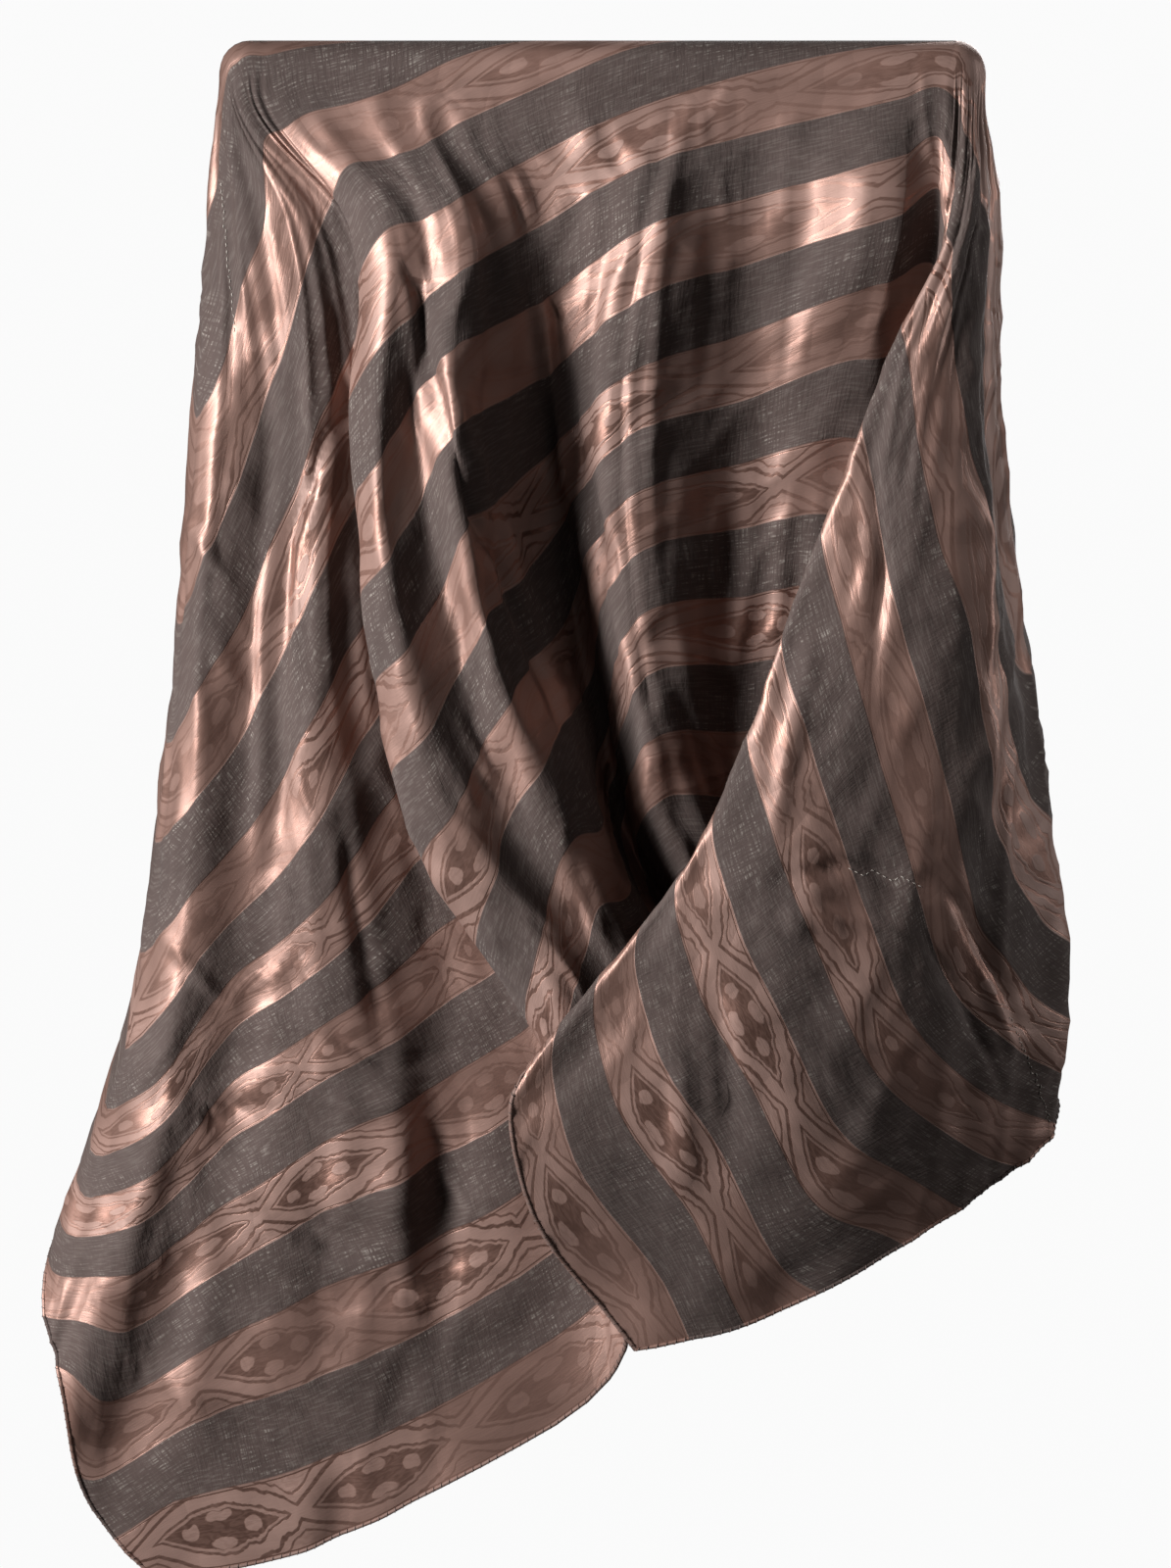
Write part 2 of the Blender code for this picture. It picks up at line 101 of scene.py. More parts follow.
# Front folds, left to right. Each place is (across, down, forward): the first two as seen from the eye
FRONT = [
    Fold("left outline", -198, -90, (-221, 101, 0), (-229, 219, -5), (-239, 335, -10),
         (-251, 461, -10), (-269, 584, -5), (-312, 716, 15),
         (16.5, 16.0, 14.9, 13.9, 11.8, 9.5, 4), 0),
    Fold("left fall, outer ridge", -198, -76, (-215, 101, 15), (-214, 214, 24), (-225, 335, 28),
         (-234, 461, 28), (-247, 588, 27), (-305, 747, 30),
         (16.5, 15.65, 14.7, 13.4, 11.45, 8.75, 2.9), 0),
    Fold("left fall, trough", -198, -62, (-204, 101, 25), (-187, 214, 20), (-194, 340, 20),
         (-198, 467, 20), (-209, 599, 20), (-286, 824, 25),
         (16.45, 15.35, 13.8, 12.5, 10.45, 6.55, 1.6), 0),
    Fold("left front corner", -198, -52, (-191, 101, 26), (-176, 214, 25), (-180, 343, 26),
         (-181, 469, 26), (-190, 607, 27), (-252, 863, 28),
         (16.45, 15.05, 13.5, 12.05, 9.97, 5.95, 0), 0),
    Fold("left fall, inner ridge", -198, -40, (-178, 101, 30), (-165, 214, 33), (-166, 346, 36),
         (-162, 472, 36), (-157, 610, 35), (-179, 850, 30),
         (16.4, 14.55, 13.15, 11.6, 9.4, 5.25, 0), 110),
    Fold("under the roll", -198, -24, (-157, 101, 29), (-133, 219, 20), (-121, 351, 20),
         (-96, 483, 19), (-74, 604, 21), (-89, 810, 30),
         (16.4, 14.0, 12.35, 10.3, 7.4, 4.3, 0), 250),
    Fold("under the roll, inner", -198, -12, (-147, 101, 30), (-127, 219, 20), (-112, 351, 20),
         (-78, 480, 20), (-25, 599, 24), (4, 750, 38),
         (16.35, 13.8, 12.2, 10.1, 7.2, 3.7, 0), 385),
    Fold("roll, left side", -188, 0, (-141, 101, 40), (-143, 214, 60), (-133, 329, 70),
         (-104, 442, 80), (-41, 535, 85), (19, 694, 78),
         (16.35, 13.6, 11.75, 9.6, 7.25, 4.95, 0), 515),
    Fold("roll, crown", -168, 0, (-121, 101, 52), (-126, 214, 80), (-115, 326, 88),
         (-82, 436, 92), (-23, 519, 91), (28, 650, 88),
         (16.25, 13.1, 11.35, 9.35, 6.93, 4.45, 0), 570),
    Fold("roll, trough", -142, 0, (-102, 101, 48), (-105, 214, 66), (-86, 324, 72),
         (-56, 428, 78), (-12, 504, 80), (38, 620, 82),
         (16.1, 13.0, 10.75, 8.65, 6.2, 4.2, 0), 610),
    Fold("second ridge", -113, 0, (-84, 101, 56), (-84, 214, 84), (-68, 318, 88),
         (-33, 423, 84), (-4, 486, 79), (48, 590, 80),
         (15.85, 12.75, 10.1, 8.2, 5.75, 4.05, 0), 660),
    Fold("second ridge, right side", -88, 0, (-63, 101, 42), (-66, 214, 58), (-53, 307, 58),
         (-14, 400, 55), (9, 461, 55), (59, 560, 60),
         (15.55, 12.45, 9.85, 8.05, 5.6, 4.5, 0), 715),
    Fold("hollow", -52, 0, (-30, 101, 30), (-30, 208, 24), (-22, 302, 20),
         (-1, 387, 20), (17, 455, 18), (66, 530, 14),
         (15.15, 12.0, 9.5, 7.4, 5.25, 2.4, 0), 790),
    Fold("narrow ridge", 36, 0, (32, 101, 46), (15, 192, 56), (15, 277, 58),
         (21, 357, 58), (33, 428, 54), (72, 500, 45),
         (14.1, 11.0, 8.85, 6.4, 4.1, 1.95, 0), 850),
    Fold("centre panel", 80, 0, (81, 101, 26), (80, 183, 28), (78, 255, 28),
         (78, 329, 28), (78, 412, 26), (102, 497, 24),
         (13.75, 10.65, 8.5, 6.5, 4.55, 2.35, 0), 905),
    Fold("fourth ridge", 168, 0, (168, 101, 42), (150, 170, 40), (134, 236, 32),
         (120, 307, 28), (122, 395, 25), (140, 486, 24),
         (13.2, 9.9, 8.2, 6.7, 5.0, 2.75, 0), 970),
    Fold("hidden valley", 190, 0, (191, 96, 27), (184, 167, 22), (178, 238, 23),
         (168, 313, 23), (164, 401, 22), (190, 472, 19),
         (13.1, 9.8, 8.4, 7.0, 5.5, 3.0, 0), 1040),
    Fold("hidden valley, front", 196, 0, (193, 99, 34), (184, 169, 36), (178, 240, 38),
         (168, 315, 39), (164, 404, 40), (190, 476, 40),
         (13.05, 10.2, 8.9, 7.6, 6.1, 3.6, 0), 1070),
    Fold("right layer, hidden web", 198, 8, (195, 101, 42), (176, 172, 50), (152, 243, 58),
         (122, 325, 66), (86, 438, 78), (34, 538, 92),
         (13.0, 10.6, 9.4, 8.2, 6.7, 4.3, 0), 1290),
    Fold("right layer, fold edge", 198, 14, (196, 101, 48), (162, 175, 62), (133, 247, 74),
         (102, 329, 86), (59, 442, 100), (-50, 590, 120),
         (12.95, 11.1, 9.7, 8.4, 7.05, 4.8, 0), 1420),
    Fold("right layer, left hem", 198, 25, (202, 101, 50), (172, 181, 70), (153, 258, 83),
         (130, 351, 94), (86, 472, 108), (-44, 645, 123),
         (12.95, 11.3, 10.0, 9.0, 7.7, 5.5, 0), 1520),
    Fold("right front corner", 198, 36, (206, 101, 50), (182, 186, 73), (171, 269, 87),
         (154, 368, 99), (121, 489, 111), (18, 734, 113),
         (12.9, 11.6, 10.35, 9.55, 8.25, 6.25, 0), 1650),
    Fold("right layer, middle", 198, 48, (208, 101, 46), (193, 191, 70), (187, 277, 84),
         (176, 381, 96), (154, 505, 106), (93, 715, 100),
         (12.9, 11.8, 10.7, 10.0, 8.8, 7.0, 2.4), 1650),
    Fold("right layer, ridge", 198, 62, (213, 101, 38), (210, 200, 62), (215, 285, 76),
         (205, 395, 88), (185, 521, 92), (158, 680, 78),
         (12.88, 11.95, 11.45, 10.65, 9.55, 7.8, 3.75), 1650),
    Fold("right facet", 198, 76, (216, 101, 20), (216, 200, 36), (221, 288, 44),
         (231, 406, 48), (224, 538, 50), (212, 646, 45),
         (12.85, 12.2, 12.0, 12.0, 10.95, 8.5, 5.4), 1650),
    Fold("right outline", 198, 90, (220, 101, 0), (223, 197, -5), (232, 290, -8),
         (248, 408, -8), (261, 549, -5), (253, 613, 5),
         (12.8, 12.3, 12.3, 12.45, 11.35, 9.0, 6.8), 1650),
]

# Back folds, right to left as seen from the front. Each place is (across, down, behind) in plain mm,
# and the stripes run evenly from the top line to the hem
BACK = [
    Fold("back right, outer ridge", 198, 108, (224, 104, 22), (232, 208, 48), (238, 306, 68),
         (244, 410, 84), (250, 514, 96), (252, 612, 104), (12.8, 10), 1650),
    Fold("back right, outer valley", 198, 126, (214, 103, 27), (204, 206, 28), (200, 303, 30),
         (202, 405, 34), (206, 508, 38), (208, 605, 42), (12.8, 14), 1650),
    Fold("back right, inner ridge", 198, 144, (200, 106, 33), (190, 212, 62), (180, 318, 88),
         (172, 425, 108), (166, 530, 122), (160, 633, 130), (12.85, 18), 1650),
    Fold("back right, inner valley", 198, 162, (186, 108, 24), (166, 220, 27), (150, 335, 32),
         (138, 450, 38), (128, 570, 44), (118, 690, 50), (12.9, 22), 1650),
    Fold("right back corner", 192, 180, (176, 112, 36), (148, 235, 66), (122, 365, 92),
         (98, 500, 110), (76, 650, 122), (56, 800, 126), (13.05, 27), 1650),
    Fold("back centre, right valley", 172, 180, (160, 100, 22), (128, 205, 22), (100, 305, 24),
         (74, 405, 28), (48, 505, 34), (26, 600, 40), (13.2, 27), 1335),
    Fold("back centre, right ridge", 140, 180, (130, 92, 36), (104, 182, 52), (80, 270, 64),
         (56, 360, 72), (34, 450, 80), (14, 535, 84), (13.35, 27), 1060),
    Fold("back centre, panel", 40, 180, (38, 84, 22), (20, 166, 22), (4, 248, 24),
         (-10, 330, 26), (-22, 412, 30), (-32, 490, 34), (14.1, 27), 850),
    Fold("back centre, left ridge", -70, 180, (-66, 78, 34), (-62, 154, 46), (-60, 230, 56),
         (-60, 305, 64), (-62, 380, 70), (-66, 452, 74), (15.35, 27), 740),
    Fold("back centre, left valley", -150, 180, (-142, 76, 22), (-126, 150, 22), (-114, 224, 24),
         (-106, 298, 26), (-100, 370, 32), (-98, 440, 38), (16.15, 27), 480),
    Fold("left back corner", -188, 180, (-182, 110, 36), (-168, 225, 64), (-158, 340, 86),
         (-150, 460, 104), (-146, 585, 116), (-144, 715, 120), (16.35, 27), 0),
    Fold("back left, inner valley", -198, -162, (-196, 106, 26), (-190, 212, 28), (-190, 318, 32),
         (-192, 425, 38), (-196, 535, 44), (-200, 645, 50), (16.45, 23), 0),
    Fold("back left, middle ridge", -198, -144, (-206, 102, 36), (-210, 204, 66), (-214, 304, 92),
         (-218, 402, 112), (-224, 502, 126), (-230, 600, 134), (16.5, 19), 0),
    Fold("back left, outer valley", -198, -126, (-214, 100, 24), (-218, 200, 28), (-224, 300, 34),
         (-232, 398, 40), (-242, 498, 46), (-254, 596, 50), (16.5, 15), 0),
    Fold("back left, outer ridge", -198, -108, (-222, 106, 16), (-231, 212, 38), (-240, 318, 56),
         (-252, 425, 68), (-262, 532, 78), (-280, 640, 84), (16.5, 10), 0),
]
RING = FRONT + BACK
NAMES = [fold.name for fold in RING]
CORNERS = {"left front corner", "right front corner"}

# Threads: the stitches over the hem, and three short lines of parted crepe thread on the front, whose pale
# colour is a painted glint of light and white backdrop showing through sharp creases. Their places are in mm
# as seen from the eye
STITCH_RADIUS = 0.3 * MM
STITCH_SPACING = 5.5 * MM
STITCH_SLANT = 2.2 * MM
HEM_SIDES = 8
PULLED_GLINT_LIFT = 0.55 * MM  # height of the pale painted-glint threads above the silk's middle
PULLED_GLINT_STEP = 0.8 * MM
DASH_POINTS, DASH_REPEAT = 4, 5
THREAD_END = 0.35               # how blunt a thread's ends are, in radians of its taper
ASIDE = (0.31, 0.87, 0.39)      # a direction that no thread runs in
PULLED_GLINT_LINES = (
    ("left outline", "left front corner", ((-214, 79), (-212, 103), (-210, 126), (-206, 164))),
    ("right layer, middle", "right outline", ((228, 547), (238, 570), (244, 584), (251, 608))),
    ("right layer, left hem", "right facet", ((139, 465), (150, 467), (168, 470), (182, 474))),
)

# How finely the cloth is cut into faces
ROWS_A_BEND_STEP = 2
ROWS_BELOW_BEND = 2
ROWS_A_STATION = 25
FRONT_FACE_WIDTH = 3.5 * MM
BACK_FACE_WIDTH = 6 * MM
FEWEST_FACES_A_FOLD = 3
TINY = 1e-6                     # points nearer than this are one

# The soft creases in the cloth, grouped by the folds that they show on, from first to last. Each crease
# is its width and height in mm, a ridge where height is above 0 and a trough below, and the places
# (across, down) in mm that it runs through, as seen from the eye on the front and plain on the back
CREASES = [
    # The double ridge beside the roll, parted by a sharp groove
    ("roll, trough", "second ridge, right side", [
        (5, -4.0, ((-121, 112), (-104, 142), (-98, 180), (-86, 224), (-72, 267), (-57, 299), (-41, 340),
            (-19, 395))),
        (8, 2.5, ((-128, 115), (-111, 146), (-106, 184), (-94, 228), (-81, 271), (-67, 303))),
        (8, 2.5, ((-112, 108), (-96, 138), (-89, 176), (-77, 220), (-63, 262), (-48, 294), (-33, 335)))]),
    # The narrow ridge down the middle is double too
    ("hollow", "centre panel", [
        (6, -4.5, ((41, 29), (29, 76), (22, 112), (14, 153), (10, 192), (10, 236), (14, 285), (19, 329),
            (29, 384))),
        (8, 3.0, ((50, 32), (37, 87), (31, 142), (28, 197), (27, 252), (29, 290), (33, 330))),
        (9, 2.0, ((8, 110), (1, 153), (-3, 200), (-2, 240), (3, 290)))]),
    # Folds that sink into the hollow between the roll and the narrow ridge
    ("second ridge, right side", "hollow", [
        (9, 4.0, ((-40, 120), (-30, 190), (-18, 250), (4, 330), (16, 380))),
        (8, -4.0, ((-28, 130), (-20, 190), (-8, 250), (10, 325), (22, 370)))]),
    ("second ridge, right side", "narrow ridge", [
        (8, 3.5, ((-14, 200), (-8, 260), (6, 310), (22, 372), (36, 420)))]),
    ("hollow", "narrow ridge", [(7, -3.0, ((-6, 250), (4, 290), (16, 340), (30, 390)))]),
    ("hollow", "centre panel", [(9, -3.0, ((40, 360), (56, 410), (72, 446)))]),
    ("centre panel", "fourth ridge", [(9, 3.0, ((70, 396), (92, 430), (118, 446)))]),
    # Soft folds down the left fall
    ("left fall, trough", "under the roll", [
        (9, -3.9, ((-143, 197), (-160, 235), (-177, 281), (-177, 342))),
        (11, 3.9, ((-186, 260), (-190, 330), (-189, 400), (-195, 470)))]),
    ("left outline", "left fall, trough", [
        (8, 3.2, ((-236, 262), (-221, 287), (-214, 300))),
        (13, -3.9, ((-214, 60), (-212, 150), (-214, 240), (-222, 330)))]),
    ("left fall, outer ridge", "under the roll, inner", [
        (14, 4.5, ((-246, 590), (-200, 640), (-140, 652), (-90, 640))),
        (13, -4.5, ((-262, 668), (-205, 700), (-150, 708), (-95, 690), (-50, 665))),
        (11, 3.9, ((-285, 735), (-225, 760), (-165, 752), (-110, 735)))]),
    ("left front corner", "under the roll", [(10, -3.2, ((-215, 790), (-170, 800), (-130, 785)))]),
    ("left fall, inner ridge", "under the roll", [
        (11, -4.5, ((-150, 420), (-140, 480), (-128, 540), (-120, 590)))]),
    # Soft folds that hang down the lower left, each with its valley
    ("left outline", "under the roll, inner", [
        (24, 6.5, ((-124, 540), (-116, 600), (-114, 660), (-108, 730))),
        (24, -5.5, ((-168, 556), (-160, 620), (-160, 690), (-152, 750))),
        (20, 5.5, ((-66, 584), (-54, 630), (-50, 690), (-40, 720))),
        (18, -5.0, ((-98, 600), (-88, 650), (-84, 700))),
        (22, 5.5, ((-226, 640), (-222, 700), (-228, 760), (-222, 800)))]),
    # Crisp small creases across the lower left
    ("left outline", "under the roll, inner", [
        (7, -3.2, ((-166, 552), (-124, 574), (-80, 568))),
        (7, 2.8, ((-172, 584), (-134, 600), (-95, 590))),
        (7, -3.2, ((-196, 650), (-152, 680), (-112, 670))),
        (7, 3.0, ((-102, 618), (-78, 650), (-52, 678))),
        (8, -3.0, ((-130, 694), (-92, 712), (-58, 700))),
        (8, 2.8, ((-254, 496), (-216, 536), (-178, 552))),
        (7, -2.8, ((-240, 614), (-206, 598), (-174, 606)))]),
    # Short creases from being put away
    ("roll, trough", "hollow", [(4, -2.1, ((-103, 17), (-90, 28), (-74, 40)))]),
    ("second ridge, right side", "narrow ridge", [
        (5, -2.9, ((-56, 73), (-49, 92), (-43, 109))),
        (5, 2.3, ((-50, 70), (-43, 89), (-37, 104))),
        (4, -2.6, ((-33, 142), (-27, 152), (-21, 160)))]),
    ("hollow", "narrow ridge", [
        (4, -2.9, ((0, 43), (5, 60), (10, 76))),
        (6, 2.3, ((-10, 40), (-5, 58), (0, 74)))]),
    ("centre panel", "fourth ridge", [(10, -3.2, ((118, 38), (112, 90), (108, 140), (104, 190)))]),
    ("fourth ridge", "fourth ridge", [(9, 3.2, ((150, 60), (146, 110), (138, 160)))]),
    # Creases over the roll, where it turns towards its hem
    ("roll, left side", "roll, trough", [
        (9, -3.6, ((-100, 395), (-80, 430), (-62, 450))),
        (7, 2.9, ((-88, 372), (-66, 410), (-47, 436))),
        (7, -2.9, ((-64, 480), (-40, 492), (-20, 512)))]),
    ("roll, left side", "second ridge, right side", [(6, -2.9, ((-44, 506), (-22, 525), (-6, 548)))]),
    # Soft creases down the right layer and the dents above its hem
    ("right layer, left hem", "right layer, middle", [
        (8, -3.6, ((150, 222), (158, 300), (150, 372))),
        (10, 3.6, ((118, 330), (104, 400), (96, 452)))]),
    ("right layer, left hem", "right layer, ridge", [
        (9, -4.3, ((100, 470), (140, 462), (182, 474))),
        (8, 3.6, ((84, 498), (130, 492), (176, 500)))]),
    ("right layer, left hem", "right layer, middle", [
        (10, -4.3, ((40, 512), (64, 540), (72, 590), (70, 640))),
        (10, 4.3, ((20, 536), (44, 572), (46, 620), (36, 664)))]),
    ("right layer, middle", "right facet", [
        (7, -2.9, ((190, 470), (214, 508), (236, 560))),
        (6, 2.9, ((196, 490), (216, 526), (232, 572))),
        (6, -2.9, ((180, 500), (206, 545), (226, 592)))]),
    ("right layer, ridge", "right facet", [(7, 3.6, ((228, 330), (218, 400), (216, 452)))]),
    # Similar creases on the sides and back, which the photograph doesn't show
    ("back right, outer ridge", "back right, inner ridge", [
        (12, -3.0, ((226, 90), (232, 220), (236, 360)))]),
    ("back right, outer valley", "back right, inner ridge", [
        (9, 2.5, ((204, 300), (196, 380), (188, 470)))]),
    ("back right, inner ridge", "right back corner", [(10, -3.0, ((170, 240), (150, 330), (132, 430)))]),
    ("back right, inner valley", "right back corner", [(9, 2.5, ((120, 470), (98, 560), (84, 640)))]),
    ("right back corner", "back centre, right valley", [(10, -2.5, ((112, 380), (90, 470), (64, 560)))]),
    ("back centre, right ridge", "back centre, panel", [
        (10, -3.0, ((84, 80), (70, 170), (40, 260), (18, 350)))]),
    ("back centre, panel", "back centre, left ridge", [
        (8, 2.5, ((0, 60), (-12, 130), (-20, 210))),
        (5, -2.0, ((-36, 250), (-28, 300), (-34, 350)))]),
    ("back centre, left ridge", "back centre, left valley", [
        (9, -2.5, ((-90, 110), (-86, 190), (-84, 280)))]),
    ("left back corner", "left back corner", [(8, 2.5, ((-160, 240), (-154, 330), (-150, 410)))]),
    ("left back corner", "back left, inner valley", [(11, -3.0, ((-176, 380), (-172, 470), (-174, 560)))]),
    ("back left, middle ridge", "back left, outer valley", [
        (9, 2.5, ((-212, 160), (-218, 250), (-224, 330)))]),
    ("back left, outer valley", "back left, outer ridge", [
        (12, -3.0, ((-240, 300), (-250, 410), (-262, 510)))]),
]

# Unevenness all over the silk. layer picks another part of the noise for each kind
Uneven = namedtuple("Uneven", "height length layer")
SLACK = Uneven(1.8 * MM, 48 * MM, 3.7)
CRINKLES = Uneven(0.4 * MM, 9 * MM, 8.1)     # small puckers, strongest in the crepe stripes
CRUMPLES = Uneven(3.6 * MM, 32 * MM, 11.3)   # crumples with sharp tops, over the whole cloth
HEM_WAVES = Uneven(2.4 * MM, 28 * MM, 5.5)
HEM_WAVE_REACH = 22             # rows above the hem that the hem's waves reach
SATIN_CRINKLES = 0.35           # share of the puckers that the satin stripes have
MIDDLE_NOISE = 0.25             # middling size of the noise, where a sharp-topped form is level
DRAPE_HEIGHT = 2.6 * MM         # long soft wrinkles that run down the folds
DRAPE_WIDTH = 30 * MM
DRAPE_LENGTH = 190 * MM
BEND_HEIGHT = 4.2 * MM          # crisp bends among those wrinkles
BEND_FINENESS, BEND_LAYER = (1.3, 1.3, 1.2), 40
CREASE_SPILL = 0.7              # how many folds past its own a crease may spread
CREASE_TAPER = 0.6
LEVEL_DOWN_TO = 12 * MM         # the top of the cloth stays level to here, and is uneven in full below
LEVEL_FADE = 50 * MM

# The room that the silk leaves for the board
BOARD_CLEARANCE = 17.0 * MM     # least distance of the silk's middle from the board's middle line
BOARD_HALF_LENGTH = 195.5 * MM
BOARD_TOP = 20 * MM
BOARD_HEIGHT = 402 * MM


class ScarfSettings(bpy.types.PropertyGroup):
    """Sizes and colours of the scarf."""
    stripe_width: bpy.props.FloatProperty(
        name="Stripe width", description="Width of each woven stripe", default=STRIPE_WIDTH,
        min=0.005, max=0.2, unit='LENGTH', subtype='DISTANCE')
    figure_repeat: bpy.props.FloatProperty(
        name="Figure repeat", description="Length of one leaf figure along a satin stripe",
        default=0.136, min=0.02, max=0.5, unit='LENGTH', subtype='DISTANCE')
    cloth_thickness: bpy.props.FloatProperty(
        name="Cloth thickness", description="Thickness of the silk", default=0.0005,
        min=0.0001, max=0.002, unit='LENGTH', subtype='DISTANCE')
    hem_radius: bpy.props.FloatProperty(
        name="Hem radius", description="Radius of the rolled hem", default=0.0013,
        min=0.0005, max=0.004, unit='LENGTH', subtype='DISTANCE')
    satin_colour: bpy.props.FloatVectorProperty(
        name="Satin", description="Ground of the shining stripes", subtype='COLOR', size=3,
        min=0, max=1, default=(0.29, 0.160, 0.125))
    figure_colour: bpy.props.FloatVectorProperty(
        name="Satin figure", description="Leaf lines woven into the shining stripes",
        subtype='COLOR', size=3, min=0, max=1, default=(0.34, 0.215, 0.180))
    crepe_colour: bpy.props.FloatVectorProperty(
        name="Crepe", description="Ground of the dull dark stripes", subtype='COLOR', size=3,
        min=0, max=1, default=(0.080, 0.056, 0.050))
    thread_colour: bpy.props.FloatVectorProperty(
        name="Crepe thread", description="Pale threads in the dull dark stripes",
        subtype='COLOR', size=3, min=0, max=1, default=(0.26, 0.225, 0.20))
    stitch_colour: bpy.props.FloatVectorProperty(
        name="Stitches", description="Sewing thread of the hem",
        subtype='COLOR', size=3, min=0, max=1, default=(0.17, 0.115, 0.10))
    # The pale colour of the pulled threads is a painted glint: light and white backdrop seen through sharp
    # creases in the crepe
    pulled_glint_colour: bpy.props.FloatVectorProperty(
        name="Pulled threads", description="Pale threads that lie pulled on the front",
        subtype='COLOR', size=3, min=0, max=1, default=(0.62, 0.56, 0.50))


class BoardSettings(bpy.types.PropertyGroup):
    """Colours of the back board."""
    wood_colour: bpy.props.FloatVectorProperty(
        name="Wood", description="Main colour of the board", subtype='COLOR', size=3,
        min=0, max=1, default=(0.50, 0.37, 0.24))
    grain_colour: bpy.props.FloatVectorProperty(
        name="Grain", description="Colour of the board's grain lines", subtype='COLOR', size=3,
        min=0, max=1, default=(0.33, 0.22, 0.13))


class StudioSettings(bpy.types.PropertyGroup):
    """The floor and the lights."""
    floor_colour: bpy.props.FloatVectorProperty(
        name="Floor", description="Colour of the floor and backdrop", subtype='COLOR', size=3,
        min=0, max=1, default=(0.93, 0.93, 0.93))
    floor_drop: bpy.props.FloatProperty(
        name="Floor drop", description="How far the floor lies below the scarf's top line",
        default=1.15, min=1.0, max=2.0, unit='LENGTH', subtype='DISTANCE')
    key_power: bpy.props.FloatProperty(
        name="Key light", description="Power of the main light, from the left front",
        default=125, min=0, max=500, unit='POWER')
    fill_power: bpy.props.FloatProperty(
        name="Fill light", description="Power of each of the two soft lights",
        default=2.0, min=0, max=500, unit='POWER')
    side_power: bpy.props.FloatProperty(
        name="Side light", description="Power of the narrow light from the right", default=12,
        min=0, max=500, unit='POWER')
    back_power: bpy.props.FloatProperty(
        name="Back light", description="Power of the soft light behind the scarf", default=45,
        min=0, max=500, unit='POWER')
    surround: bpy.props.FloatProperty(
        name="Surround", description="Brightness of the white room", default=0.035, min=0, max=3)


# Points of the fold lines

def seen(across, down, forward):
    """The point that the eye sees at a place on the picture plane, that far in front of the board."""
    on_plane = np.array((across, -down * math.sin(EYE_PITCH), -down * math.cos(EYE_PITCH)))
    reach = (-forward - EYE[1]) / (on_plane[1] - EYE[1])
    return EYE + (on_plane - EYE) * reach


def plain(across, down, behind):
    """A point given by its own distances from the origin."""
    return np.array((across, behind, -down))


def picture_places(points):
    """Where the eye sees points on the picture plane, as (across, down)."""
    down_way = np.array((0, -math.sin(EYE_PITCH), -math.cos(EYE_PITCH)))
    plane_way = np.array((0, -math.cos(EYE_PITCH), math.sin(EYE_PITCH)))
    rays = points - EYE
    reach = -(EYE @ plane_way) / (rays @ plane_way)
    hits = EYE + rays * reach[..., None]
    return np.stack((hits[..., 0], hits @ down_way), axis=-1)


def bend_point(fold, degrees):
    """A point of the cloth on the bend over the board, that far round from its top."""
    turn, bend = math.radians(fold.turn), math.radians(degrees)
    out = CLOTH_BEND * math.sin(bend)
    return np.array((fold.rim * MM + out * math.sin(turn), -out * math.cos(turn),
                     -CLOTH_BEND * (1 - math.cos(bend))))


def fold_knots(fold, place):
    """A fold line's points from the top line to the hem, each with its width and length on the cloth."""
    knots = [bend_point(fold, degrees) for degrees in BEND_ANGLES]
    knots.append(knots[-1] - np.array((0, 0, BELOW_BEND)))
    first_cell = len(knots)
    knots += [place(*(value * MM for value in cell)) for cell in fold[STATIONS]]
    knots = np.array(knots)
    reach = distances(knots)
    told = reach[[0] + list(range(first_cell, len(knots)))]
    if len(fold.stripes) == 2:
        told = reach[[0, -1]]
    stripes = np.interp(reach, told, fold.stripes)
    top_along = SCARF_LENGTH / 2 + fold.rim * MM
    along = top_along + (fold.along * MM - top_along) * reach / reach[-1]
    return np.column_stack((knots, stripes, along))


def distances(points):
    """How far along a line of points each one lies."""
    return np.concatenate(([0], np.cumsum(np.linalg.norm(np.diff(points, axis=0), axis=1))))


def chord_lengths(points):
    """The distance from each point to the next, the last one back to the first."""
    return np.maximum(np.linalg.norm(np.roll(points, -1, axis=0)[:, :3] - points[:, :3], axis=1), TINY)


def slopes(points, lengths):
    """The direction of a smooth curve at each of its points, weighted towards the nearer neighbour."""
    steps = (np.roll(points, -1, axis=0) - points) / lengths[:, None]
    before, after = np.roll(lengths, 1)[:, None], lengths[:, None]
    return (steps * before + np.roll(steps, 1, axis=0) * after) / (before + after), steps


def between(points, leaving, reaching, lengths, index, part):
    """The points of the curve that lie the given parts of the way after some of its points."""
    after = (index + 1) % len(points)
    part = part[:, None]
    square, cube = part * part, part ** 3
    pull = lengths[index][:, None] * ((cube - 2 * square + part) * leaving[index]
                                      + (cube - square) * reaching[after])
    return (2 * cube - 3 * square + 1) * points[index] + (3 * square - 2 * cube) * points[after] + pull


def row_places():
    """The rows of faces down a fold line, as (knot, part of the way to the next)."""
    steps = [ROWS_A_BEND_STEP] * (len(BEND_ANGLES) - 1) + [ROWS_BELOW_BEND]
    steps += [ROWS_A_STATION] * (STATIONS.stop - STATIONS.start)
    places = [(knot, step / count) for knot, count in enumerate(steps) for step in range(count)]
    return places + [(len(steps) - 1, 1.0)]


def fold_line(fold, place):
    """A fold line at every row, with its width and length on the cloth."""
    knots = fold_knots(fold, place)
    lengths = chord_lengths(knots)
    slope, steps = slopes(knots, lengths)
    turn = math.radians(fold.turn)
    slope[0] = steps[0]
    slope[0, :3] = (math.sin(turn), -math.cos(turn), 0)
    slope[-1] = steps[-2]
    places = row_places()
    index = np.array([knot for knot, _ in places])
    part = np.array([part for _, part in places])
    return between(knots, slope, slope, lengths, index, part)


def measured_row(rows):
    """The row of the cloth that stands for its width round the folds."""
    return rows[len(rows) * 2 // 3]


